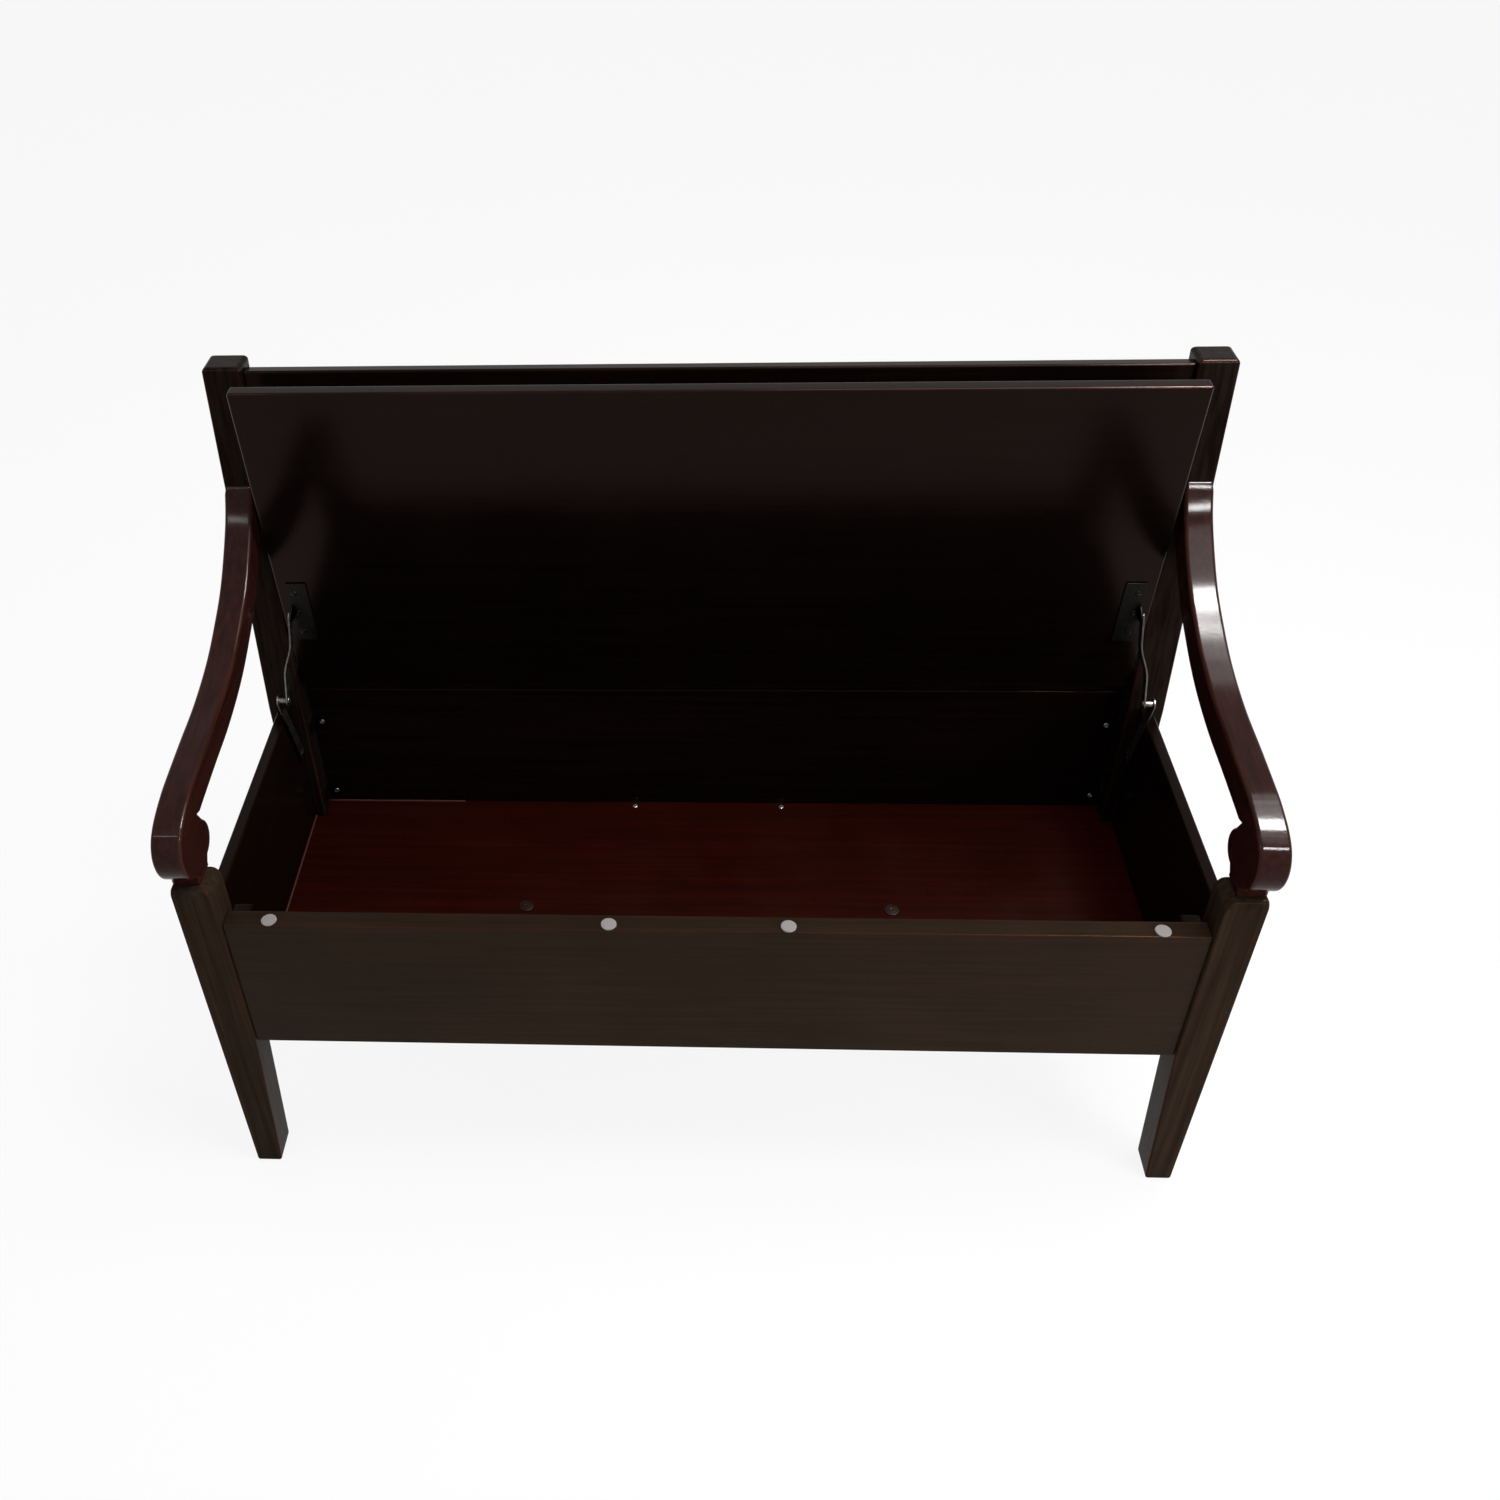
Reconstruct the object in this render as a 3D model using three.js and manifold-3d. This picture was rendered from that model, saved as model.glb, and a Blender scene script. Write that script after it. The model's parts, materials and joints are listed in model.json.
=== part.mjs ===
// A deacons bench: a storage bench with scrolled arms, a framed back and a lift-up seat lid on two stays.
// Millimetres, +Z up. The viewer looks along +Y, so the bench's left is at -X.
// The pieces are laid out with the front legs' front faces at y = 0 and the ground at z = 0.
// The last lines then centre the whole bench over its origin.
import * as THREE from "three";
import { mergeVertices } from "three/addons/utils/BufferGeometryUtils.js";
import Module from "manifold-3d";

const wasm = await Module();
wasm.setup();

// Whole bench
const bench_width = 1221;
const fit_gap = 0.3;
const board_ease = 2;
const board_corner_share = 1.25;
const ease_steps = 2;
const arc_steps = 6;
const overrun = 5;

// Front legs, rounded over at the top
const leg_width = 47;
const leg_depth = 45;
const leg_top = 523;
const leg_front_round = 10;
const leg_back_round = 5;
const leg_inner_round = 16;
const leg_foot_width = 32.5;
const leg_taper_height = 250;
const leg_ease = 2.5;

// Arms and their scrolled fronts
const arm_width = 35;
const arm_depth = 40;
const arm_rise = 270;
const arm_ease = 4.5;
const arm_curve_steps = 26;
const scroll_overhang = 16;
const scroll_radius = 40.5;
const scroll_drop = 43.5;
const scroll_rise = 56;
const scroll_top_angle = 126;
const scroll_end_angle = 246;
const curl_radius = 24;
const curl_back = 48;
const curl_rise = 37;
const curl_start_angle = 275;
const curl_end_angle = 410;
const throat_back = 56;
const throat_rise = 69.5;
const neck_front = 11.5;
const neck_front_rise = 10;
const neck_back_rise = 6;

// The arm's top line from behind the post's face to the scroll.
// Each pair is a share of the reach from the leg's front to the post, and a share of the arm's rise.
const arm_line_shares = [
  [1.03, 1.0885],
  [1, 1],
  [0.934, 0.8474],
  [0.803, 0.6663],
  [0.685, 0.5652],
  [0.569, 0.493],
  [0.43, 0.4459],
  [0.285, 0.4252],
  [0.145, 0.4019],
  [0.1, 0.3889],
  [0.067, 0.3756],
  [0.04, 0.3615],
  [0.018, 0.3456],
];

// Back posts, upright to the bend and leaning above it
const post_front = 418;
const post_bend = 455;
const post_height = 941;
const post_setback = 43.8;
const post_low_depth = 52;
const post_top_depth = 42;
const post_ease = 3;

// Backrest between the posts. Its shares are of the height from the closed lid to the posts' tops.
const backrest_setback = 10;
const backrest_depth = 18;
const backrest_clear_share = 0.321;
const top_rail_height_share = 0.187;
const lower_rail_height_share = 0.132;
const top_rail_drop = 9;
const rail_round = 3;
const backrest_panel_thickness = 6;
const backrest_groove = 8;

// Box under the seat
const box_bottom = 254;
const box_top = 464;
const apron_thickness = 25;
const apron_setback = 4.5;
const side_panel_thickness = 15;
const side_panel_setback = 17.7;
const back_panel_thickness = 15;
const back_panel_setback = 3;
const floor_thickness = 8;
const floor_front = 15;
const floor_side_inset = 2;
const batten_width = 40;
const batten_thickness = 20;
const rear_batten_width = 30;
const rear_batten_inset = 6;
const rear_rail_depth = 14.5;
const corner_block_width = 23;
const corner_block_depth = 22;
const corner_block_height = 150;
const corner_block_drop = 12;

// Felt pads on the apron, placed by eye as on the real bench
const pad_radius = 9;
const pad_thickness = 2;
const pad_steps = 24;
const pad_setback = 13.6;
const pad_end_inset = 53.5;
const pad_place_shares = [-1, -0.2245, 0.1784, 1];

// Seat lid, held open by its stays
const lid_thickness = 18;
const lid_depth = 456;
const lid_side_clearance = 1.5;
const lid_open_degrees = 85;
const lid_ease = 2.5;

// Butt hinges behind the lid, at shares of the room between the middle and a leg
const hinge_place_shares = [-0.71, 0, 0.71];
const hinge_length = 60;
const hinge_leaf_height = 18;
const hinge_leaf_thickness = 1.2;
const hinge_leaf_corner_share = 0.25;
const knuckle_radius = 2.5;
const knuckle_gap = 0.4;
const hinge_pin_radius = 1.25;
const hinge_pin_clearance = 0.05;
const hinge_pin_end = 0.8;
const hinge_steps = 16;

// Lid stays: a plate on the box side, a lower arm, an upper link and a bracket on the lid
const stay_along = 132;
const stay_drop = 30.8;
const stay_pivot_y = 406;
const stay_pivot_z = 384;
const stay_thickness = 2;
const stay_width = 14;
const stay_hole_clearance = 0.08;
const stay_pin_radius = 3;
const stay_head_radius = 5;
const stay_head_thickness = 1.5;
const stay_spacer_radius = 4;
const stay_spacer_length = 10.5;
const stay_jog = 10;
const stay_jog_start_share = 0.3;
const stay_jog_end_share = 0.7;
const stay_plate_width = 18;
const stay_plate_below = 12;
const stay_plate_above = 48;
const stay_screw_radius = 4;
const stay_screw_height = 1.4;
const stay_steps = 24;
const lid_bracket_width = 27;
const lid_bracket_front = 48;
const lid_bracket_back = 47;
const lid_bracket_screw_pitch = 32;
const lid_bracket_screw_share = 0.25;
const lid_ear_width = 22;

// Screws through the floor, with wide caps on the middle pair
const floor_screw_share = 0.44;
const floor_screw_cap_radius = 10;
const floor_screw_cap_height = 2;
const floor_screw_shank_radius = 2.5;
const floor_screw_length = 22;
const rear_screw_share = 0.19;
const rear_screw_head_radius = 4;
const rear_screw_head_height = 1.6;
const screw_hole_clearance = 0.1;
const screw_steps = 16;

// Steel angles in the box's rear corners
const angle_leg = 20;
const angle_thickness = 2;
const angle_height = 18;
const angle_places = [276, 407];
const angle_screw_inset = 13;
const angle_screw_head_radius = 4;
const angle_screw_head_height = 1.6;
const angle_screw_shank_radius = 1.8;
const angle_screw_length = 10;

// Places worked out from the sizes
const leg_outer = bench_width / 2;
const leg_inner = leg_outer - leg_width;
const arm_inner = leg_outer - arm_width;
const post_lean = Math.atan2(post_setback, post_height - post_bend);
const post_low_back = post_front + post_low_depth;
const side_outer = leg_outer - side_panel_setback;
const side_inner = side_outer - side_panel_thickness;
const back_panel_back = post_low_back - back_panel_setback;
const back_panel_front = back_panel_back - back_panel_thickness;
const between_posts = leg_inner - fit_gap;
const lid_underside = box_top + pad_thickness + fit_gap;
const lid_top = lid_underside + lid_thickness;
const leaf_offset = fit_gap / 2;
const hinge_to_board = leaf_offset + hinge_leaf_thickness + fit_gap;
const hinge_y = post_low_back - rear_rail_depth - hinge_to_board;
const hinge_z = lid_top + knuckle_radius + fit_gap;
const lid_open = THREE.MathUtils.degToRad(lid_open_degrees);
const floor_top = box_bottom - fit_gap;
const floor_back = back_panel_back - floor_side_inset;
const floor_screw_x = leg_inner * floor_screw_share;
const rear_screw_x = leg_inner * rear_screw_share;

// Materials
function wood(colour) {
  return new THREE.MeshStandardMaterial({ color: colour, roughness: 0.25, metalness: 0 });
}

function metal(colour) {
  return new THREE.MeshStandardMaterial({ color: colour, roughness: 0.35, metalness: 1 });
}

const looks = {
  frame_wood: () => wood(0x2a0f0c),
  board_wood: () => wood(0x211210),
  floor_wood: () => wood(0x3a1410),
  hinge_metal: () => metal(0x6a5a44),
  stay_metal: () => metal(0x5a5856),
  screw_metal: () => metal(0x8a8884),
  cap_plastic: () => new THREE.MeshStandardMaterial({ color: 0x1c1412, roughness: 0.4, metalness: 0 }),
  pad_felt: () => new THREE.MeshStandardMaterial({ color: 0xd8cfcb, roughness: 0.9, metalness: 0 }),
};

// Points of an arc from one angle to another, in degrees
function arcPoints(centre_u, centre_v, radius_u, radius_v, from, to, steps) {
  const points = [];
  for (let i = 0; i <= steps; i++) {
    const angle = THREE.MathUtils.degToRad(from + ((to - from) * i) / steps);
    points.push([centre_u + radius_u * Math.cos(angle), centre_v + radius_v * Math.sin(angle)]);
  }
  return points;
}

function shapeOf(points) {
  return new THREE.Shape(points.map(([u, v]) => new THREE.Vector2(u, v)));
}

// Rectangle with rounded corners
function roundedRectangle(low_u, low_v, high_u, high_v, radius, steps) {
  return shapeOf([
    ...arcPoints(high_u - radius, low_v + radius, radius, radius, -90, 0, steps),
    ...arcPoints(high_u - radius, high_v - radius, radius, radius, 0, 90, steps),
    ...arcPoints(low_u + radius, high_v - radius, radius, radius, 90, 180, steps),
    ...arcPoints(low_u + radius, low_v + radius, radius, radius, 180, 270, steps),
  ]);
}

// Prism over a shape, from 0 to its depth, with the rims of both faces eased inside its outline
function prism(shape, depth, ease = 0) {
  const geometry = new THREE.ExtrudeGeometry(shape, {
    depth: depth - 2 * ease,
    bevelEnabled: ease > 0,
    bevelThickness: ease,
    bevelSize: ease,
    bevelOffset: -ease,
    bevelSegments: ease_steps,
    curveSegments: arc_steps,
    steps: 1,
  });
  geometry.translate(0, 0, ease);
  return geometry;
}

// Prism whose shape is drawn in y and z, running from one x to another
function alongX(shape, low_x, high_x, ease = 0) {
  const geometry = prism(shape, high_x - low_x, ease);
  const turn = new THREE.Matrix4().makeBasis(
    new THREE.Vector3(0, 1, 0),
    new THREE.Vector3(0, 0, 1),
    new THREE.Vector3(1, 0, 0),
  );
  geometry.applyMatrix4(turn);
  geometry.translate(low_x, 0, 0);
  return geometry;
}

// Prism whose shape is drawn in x and z, running from one y to another
function alongY(shape, low_y, high_y, ease = 0) {
  const geometry = prism(shape, high_y - low_y, ease);
  geometry.rotateX(Math.PI / 2);
  geometry.translate(0, high_y, 0);
  return geometry;
}

// Prism whose shape is drawn in x and y, running from one z to another
function alongZ(shape, low_z, high_z, ease = 0) {
  const geometry = prism(shape, high_z - low_z, ease);
  geometry.translate(0, 0, low_z);
  return geometry;
}

// Board between two corners, with all its edges eased
function board(low, high, ease = board_ease) {
  const corner_radius = ease * board_corner_share;
  const shape = roundedRectangle(low[1], low[2], high[1], high[2], corner_radius, ease_steps);
  return alongX(shape, low[0], high[0], ease);
}

// Round bar along an axis from one place on it to another
function rod(axis, centre_u, centre_v, low, high, radius, steps) {
  const shape = shapeOf(arcPoints(centre_u, centre_v, radius, radius, 0, 360 - 360 / steps, steps - 1));
  return { x: alongX, y: alongY, z: alongZ }[axis](shape, low, high);
}

// Closed mesh to solid and back, for joining and cutting
function toSolid(geometry) {
  const bare = geometry.clone();
  bare.deleteAttribute("normal");
  bare.deleteAttribute("uv");
  const merged = mergeVertices(bare);
  const vertProperties = Float32Array.from(merged.attributes.position.array);
  const triVerts = Uint32Array.from(merged.index.array);
  return new wasm.Manifold(new wasm.Mesh({ numProp: 3, vertProperties, triVerts }));
}

function toGeometry(solid) {
  const mesh = solid.getMesh();
  const geometry = new THREE.BufferGeometry();
  geometry.setAttribute("position", new THREE.BufferAttribute(Float32Array.from(mesh.vertProperties), 3));
  geometry.setIndex(new THREE.BufferAttribute(Uint32Array.from(mesh.triVerts), 1));
  geometry.computeVertexNormals();
  return geometry;
}

function joined(first, ...others) {
  return toGeometry(others.reduce((solid, other) => solid.add(toSolid(other)), toSolid(first)));
}

function cut(first, ...others) {
  return toGeometry(others.reduce((solid, other) => solid.subtract(toSolid(other)), toSolid(first)));
}

// The same piece on the bench's other side
function mirrored(geometry) {
  const copy = geometry.index ? geometry.toNonIndexed() : geometry.clone();
  const place = copy.attributes.position;
  for (let i = 0; i < place.count; i += 3) {
    const [a, b, c] = [0, 1, 2].map((k) => new THREE.Vector3().fromBufferAttribute(place, i + k));
    place.setXYZ(i, -a.x, a.y, a.z);
    place.setXYZ(i + 1, -c.x, c.y, c.z);
    place.setXYZ(i + 2, -b.x, b.y, b.z);
  }
  copy.computeVertexNormals();
  return copy;
}

function addPiece(group, name, geometry, look) {
  const mesh = new THREE.Mesh(geometry, looks[look]());
  mesh.name = name;
  group.add(mesh);
}

// Adds a piece of the right side and its mirror image on the left
function addPair(group, name, geometry, look) {
  addPiece(group, `${name}_right`, geometry, look);
  addPiece(group, `${name}_left`, mirrored(geometry), look);
}

// Place on the post's front face at a height
function postFrontAt(z) {
  return post_front + Math.max(0, z - post_bend) * Math.tan(post_lean);
}

// Front leg, with its foot tapered on the inside and its top rounded over on three sides
function frontLeg() {
  const round = leg_inner_round;
  const front_view = shapeOf([
    [leg_outer, 0],
    [leg_outer, leg_top],
    ...arcPoints(leg_inner + round, leg_top - round, round, round, 90, 180, arc_steps),
    [leg_inner, leg_taper_height],
    [leg_outer - leg_foot_width, 0],
  ]);
  const back = leg_depth - leg_back_round;
  const front_round_low = leg_top - leg_front_round;
  const back_round_low = leg_top - leg_back_round;
  const above_top = shapeOf([
    [-overrun, front_round_low],
    ...arcPoints(leg_front_round, front_round_low, leg_front_round, leg_front_round, 180, 90, arc_steps),
    ...arcPoints(back, back_round_low, leg_back_round, leg_back_round, 90, 0, arc_steps),
    [leg_depth + overrun, back_round_low],
    [leg_depth + overrun, leg_top + overrun],
    [-overrun, leg_top + overrun],
  ]);
  const blank = alongY(front_view, 0, leg_depth, leg_ease);
  return cut(blank, alongX(above_top, leg_inner - overrun, leg_outer + overrun));
}

// Back post, with its foot tapered like the front leg's
function backPost() {
  const side_view = shapeOf([
    [post_front, 0],
    [post_low_back, 0],
    [post_low_back, post_bend],
    [post_front + post_setback + post_top_depth, post_height],
    [post_front + post_setback, post_height],
    [post_front, post_bend],
  ]);
  const beside_foot = shapeOf([
    [leg_inner - overrun, -overrun],
    [leg_outer - leg_foot_width, -overrun],
    [leg_outer - leg_foot_width, 0],
    [leg_inner, leg_taper_height],
    [leg_inner - overrun, leg_taper_height],
  ]);
  const blank = alongX(side_view, leg_inner, leg_outer, post_ease);
  return cut(blank, alongY(beside_foot, post_front - overrun, post_low_back + overrun));
}

// Arm sawn from one board: its top line, the scroll's round front, the neck, the curl and the underside
function arm() {
  const reach = postFrontAt(leg_top + arm_rise);
  const line = new THREE.SplineCurve(
    arm_line_shares.map(([y, z]) => new THREE.Vector2(y * reach, leg_top + z * arm_rise)),
  );
  const top = [];
  const underside = [];
  for (let i = 0; i <= arm_curve_steps; i++) {
    const point = line.getPoint(i / arm_curve_steps);
    const tangent = line.getTangent(i / arm_curve_steps);
    const below = [point.x - tangent.y * arm_depth, point.y + tangent.x * arm_depth];
    top.push([point.x, point.y]);
    if (below[0] > throat_back + arm_ease) {
      underside.push(below);
    }
  }
  const scroll_y = scroll_radius - scroll_overhang;
  const scroll_z = leg_top + scroll_rise;
  const curl_z = leg_top + curl_rise;
  const base = leg_top + fit_gap;
  const steps = 2 * arc_steps;
  const side_view = shapeOf([
    ...top,
    ...arcPoints(scroll_y, scroll_z, scroll_radius, scroll_radius, scroll_top_angle, 180, steps),
    ...arcPoints(scroll_y, scroll_z, scroll_radius, scroll_drop, 180, scroll_end_angle, steps).slice(1),
    [neck_front, base + neck_front_rise],
    [neck_front, base],
    [leg_depth, base],
    [leg_depth, base + neck_back_rise],
    ...arcPoints(curl_back, curl_z, curl_radius, curl_radius, curl_start_angle, curl_end_angle, steps),
    [throat_back, leg_top + throat_rise],
    ...underside.reverse(),
  ]);
  const behind_face = shapeOf([
    [postFrontAt(post_bend) - fit_gap, post_bend],
    [postFrontAt(post_bend) + post_height, post_bend],
    [postFrontAt(post_height) + post_height, post_height],
    [postFrontAt(post_height) - fit_gap, post_height],
  ]);
  return cut(
    alongX(side_view, arm_inner, leg_outer, arm_ease),
    alongX(behind_face, arm_inner - overrun, leg_outer + overrun),
  );
}

// Section of a backrest rail, drawn from its panel edge at height 0 to its far edge
function railSection(height) {
  const front = backrest_setback;
  const back = front + backrest_depth;
  const middle = (front + back) / 2;
  const half_groove = backrest_panel_thickness / 2 + fit_gap;
  const round_low = height - rail_round;
  return [
    [front, 0],
    ...arcPoints(front + rail_round, round_low, rail_round, rail_round, 180, 90, arc_steps),
    ...arcPoints(back - rail_round, round_low, rail_round, rail_round, 90, 0, arc_steps),
    [back, 0],
    [middle + half_groove, 0],
    [middle + half_groove, backrest_groove],
    [middle - half_groove, backrest_groove],
    [middle - half_groove, 0],
  ];
}

// Rails and panel of the backrest, in a group that leans with the posts from their bend
function addBackrest(group) {
  const backrest = new THREE.Group();
  backrest.position.set(0, post_front, post_bend);
  backrest.rotation.x = -post_lean;
  group.add(backrest);
  const middle = backrest_setback + backrest_depth / 2;
  const cos = Math.cos(post_lean);
  const top = (post_height - top_rail_drop - post_bend + middle * Math.sin(post_lean)) / cos;
  const above_lid = post_height - lid_top;
  const top_rail_height = above_lid * top_rail_height_share;
  const lower_rail_height = above_lid * lower_rail_height_share;
  const top_rail_low = top - top_rail_height;
  const clear = above_lid * backrest_clear_share;
  const low = (lid_top + clear - post_bend + middle * Math.sin(post_lean)) / cos;
  const lower_rail_high = low + lower_rail_height;

  const top_section = railSection(top_rail_height)
    .map(([across, up]) => [across, top_rail_low + up]);
  const lower_section = railSection(lower_rail_height)
    .map(([across, down]) => [across, lower_rail_high - down]);
  addPiece(backrest, "backrest_top_rail",
    alongX(shapeOf(top_section), -between_posts, between_posts), "frame_wood");
  addPiece(backrest, "backrest_lower_rail",
    alongX(shapeOf(lower_section), -between_posts, between_posts), "frame_wood");

  const panel_low = lower_rail_high - backrest_groove + fit_gap;
  const panel_high = top_rail_low + backrest_groove - fit_gap;
  const panel = board(
    [-between_posts, middle - backrest_panel_thickness / 2, panel_low],
    [between_posts, middle + backrest_panel_thickness / 2, panel_high],
    board_ease / 2,
  );
  addPiece(backrest, "backrest_panel", panel, "board_wood");
}

// Box boards, floor and battens
function addBox(group) {
  const apron_back = apron_setback + apron_thickness;
  addPiece(group, "front_apron",
    board([-between_posts, apron_setback, box_bottom], [between_posts, apron_back, box_top]), "board_wood");

  const side_panel = board(
    [side_inner, leg_depth + fit_gap, box_bottom],
    [side_outer, post_front - fit_gap, box_top],
  );
  addPair(group, "side_panel", side_panel, "board_wood");

  const back_panel = board(
    [-between_posts, back_panel_front, box_bottom],
    [between_posts, back_panel_back, box_top],
  );
  addPiece(group, "box_back_panel", cut(back_panel, ...angleScrewHoles()), "board_wood");

  const rail_low = box_top + fit_gap;
  const rail_front = post_low_back - rear_rail_depth;
  addPiece(group, "rear_seat_rail",
    board([-between_posts, rail_front, rail_low], [between_posts, post_low_back, lid_top], board_ease / 2),
    "board_wood");

  const block_top = box_top - corner_block_drop;
  const block = board(
    [between_posts - corner_block_width, apron_back + fit_gap, block_top - corner_block_height],
    [between_posts, apron_back + fit_gap + corner_block_depth, block_top],
  );
  addPair(group, "corner_block", block, "board_wood");
}

// Floor board under the box, notched round the legs and posts and screwed to two battens
function addFloor(group) {
  const floor_side = side_outer - floor_side_inset;
  const notch_front = leg_depth + fit_gap;
  const notch_back = post_front - fit_gap;
  const plan = shapeOf([
    [between_posts, floor_front],
    [between_posts, notch_front],
    [floor_side, notch_front],
    [floor_side, notch_back],
    [between_posts, notch_back],
    [between_posts, floor_back],
    [-between_posts, floor_back],
    [-between_posts, notch_back],
    [-floor_side, notch_back],
    [-floor_side, notch_front],
    [-between_posts, notch_front],
    [-between_posts, floor_front],
  ]);
  const floor_low = floor_top - floor_thickness;
  const batten_high = floor_low - fit_gap;
  const batten_low = batten_high - batten_thickness;
  const middle_y = (floor_front + floor_back) / 2;
  const rear_back = floor_back - rear_batten_inset;
  const rear_y = rear_back - rear_batten_width / 2;

  const hole = (x, y) => {
    const radius = floor_screw_shank_radius + screw_hole_clearance;
    return rod("z", x, y, floor_top - floor_screw_length - fit_gap, floor_top + overrun, radius, screw_steps);
  };
  const middle_holes = [hole(floor_screw_x, middle_y), hole(-floor_screw_x, middle_y)];
  const rear_holes = [hole(rear_screw_x, rear_y), hole(-rear_screw_x, rear_y)];

  addPiece(group, "floor_panel",
    cut(alongZ(plan, floor_low, floor_top), ...middle_holes, ...rear_holes), "floor_wood");
  const middle_batten = board(
    [-floor_side, middle_y - batten_width / 2, batten_low],
    [floor_side, middle_y + batten_width / 2, batten_high],
  );
  addPiece(group, "floor_batten_middle", cut(middle_batten, ...middle_holes), "board_wood");
  const rear_batten = board(
    [-between_posts, rear_back - rear_batten_width, batten_low],
    [between_posts, rear_back, batten_high],
  );
  addPiece(group, "floor_batten_rear", cut(rear_batten, ...rear_holes), "board_wood");

  const cap_screw = floorScrew(floor_screw_cap_radius, floor_screw_cap_height, floor_screw_x, middle_y);
  addPair(group, "floor_cap_screw", cap_screw, "cap_plastic");
  const rear_screw = floorScrew(rear_screw_head_radius, rear_screw_head_height, rear_screw_x, rear_y);
  addPair(group, "floor_rear_screw", rear_screw, "screw_metal");
}

// Screw standing in the floor, with a low domed head
function floorScrew(head_radius, head_height, x, y) {
  const seat = floor_top + fit_gap;
  const dome = arcPoints(0, 0, head_radius, head_height, 0, 90, arc_steps / 2).slice(0, -1);
  const profile = [
    [0, -floor_screw_length],
    [floor_screw_shank_radius, -floor_screw_length],
    [floor_screw_shank_radius, 0],
    ...dome,
    [0, head_height],
  ];
  const geometry = new THREE.LatheGeometry(profile.map(([r, h]) => new THREE.Vector2(r, h)), screw_steps);
  geometry.rotateX(Math.PI / 2);
  geometry.translate(x, y, seat);
  return geometry;
}

// Felt pads that the closed lid comes down on
function addPads(group) {
  const reach = leg_inner - pad_end_inset;
  pad_place_shares.forEach((share, i) => {
    const low = box_top + fit_gap / 2;
    const pad = rod("z", share * reach, pad_setback, low, low + pad_thickness, pad_radius, pad_steps);
    addPiece(group, `felt_pad_${i + 1}`, pad, "pad_felt");
  });
}

// Where the steel angles' screws go, on the right side
const angle_screw_x = between_posts - angle_screw_inset;

function angleScrewHoles() {
  const holes = [];
  const radius = angle_screw_shank_radius + screw_hole_clearance;
  for (const x of [-angle_screw_x, angle_screw_x]) {
    for (const z of angle_places) {
      const depth = back_panel_front + angle_screw_length;
      holes.push(rod("y", x, z, back_panel_front - angle_leg, depth, radius, screw_steps));
    }
  }
  return holes;
}

// Steel angles that tie the box's back panel to the posts, each with one screw in the panel
function addAngles(group) {
  const post_side = between_posts;
  const panel_side = back_panel_front - fit_gap;
  const plan = shapeOf([
    [post_side - angle_leg, panel_side - angle_thickness],
    [post_side - angle_thickness, panel_side - angle_thickness],
    [post_side - angle_thickness, panel_side - angle_leg],
    [post_side, panel_side - angle_leg],
    [post_side, panel_side],
    [post_side - angle_leg, panel_side],
  ]);
  const seat = panel_side - angle_thickness - fit_gap;
  angle_places.forEach((z, i) => {
    const height = ["lower", "upper"][i];
    const blank = alongZ(plan, z - angle_height / 2, z + angle_height / 2);
    addPair(group, `steel_angle_${height}`, cut(blank, ...angleScrewHoles()), "hinge_metal");
    const front = seat - angle_screw_head_height;
    const head = rod("y", angle_screw_x, z, front, seat, angle_screw_head_radius, screw_steps);
    const end = back_panel_front + angle_screw_length - fit_gap;
    const start = seat - angle_screw_head_height / 2;
    const shank = rod("y", angle_screw_x, z, start, end, angle_screw_shank_radius, screw_steps);
    addPair(group, `angle_screw_${height}`, joined(head, shank), "screw_metal");
  });
}

// One leaf of a butt hinge round the axis, on its own stretches of knuckle.
// A fixed leaf lies behind the axis and takes the outer knuckles.
// A moving leaf lies in front of it and takes the middle one.
function hingeLeaf(x, fixed) {
  const low = x - hinge_length / 2;
  const stretch = hinge_length / 3;
  const own = fixed ? [0, 2] : [1];
  const near = fixed ? leaf_offset : -leaf_offset - hinge_leaf_thickness;
  const plate_top = -(knuckle_radius + hinge_pin_radius) / 2;
  const plate_corner = hinge_leaf_thickness * hinge_leaf_corner_share;
  const plate_shape = roundedRectangle(
    near, -hinge_leaf_height, near + hinge_leaf_thickness, plate_top, plate_corner, 1);
  let leaf = toSolid(alongX(plate_shape, low, low + hinge_length));
  for (let i = 0; i < 3; i++) {
    const start = low + i * stretch + (i > 0 ? knuckle_gap / 2 : 0);
    const end = low + (i + 1) * stretch - (i < 2 ? knuckle_gap / 2 : 0);
    if (own.includes(i)) {
      leaf = leaf.add(toSolid(rod("x", 0, 0, start, end, knuckle_radius, hinge_steps)));
    } else {
      const radius = knuckle_radius + knuckle_gap;
      const room = rod("x", 0, 0, start - knuckle_gap, end + knuckle_gap, radius, hinge_steps);
      leaf = leaf.subtract(toSolid(room));
    }
  }
  const bore_radius = hinge_pin_radius + hinge_pin_clearance;
  const bore = rod("x", 0, 0, low - overrun, low + hinge_length + overrun, bore_radius, hinge_steps);
  return toGeometry(leaf.subtract(toSolid(bore)));
}

function addFixedHinges(group) {
  hinge_place_shares.forEach((share, i) => {
    const x = share * leg_inner;
    const place = ["left", "middle", "right"][i];
    const leaf = hingeLeaf(x, true);
    leaf.translate(0, hinge_y, hinge_z);
    addPiece(group, `hinge_fixed_leaf_${place}`, leaf, "hinge_metal");
    const half = hinge_length / 2 + hinge_pin_end;
    const pin = rod("x", hinge_y, hinge_z, x - half, x + half, hinge_pin_radius, hinge_steps);
    addPiece(group, `hinge_pin_${place}`, pin, "screw_metal");
  });
}

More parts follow.
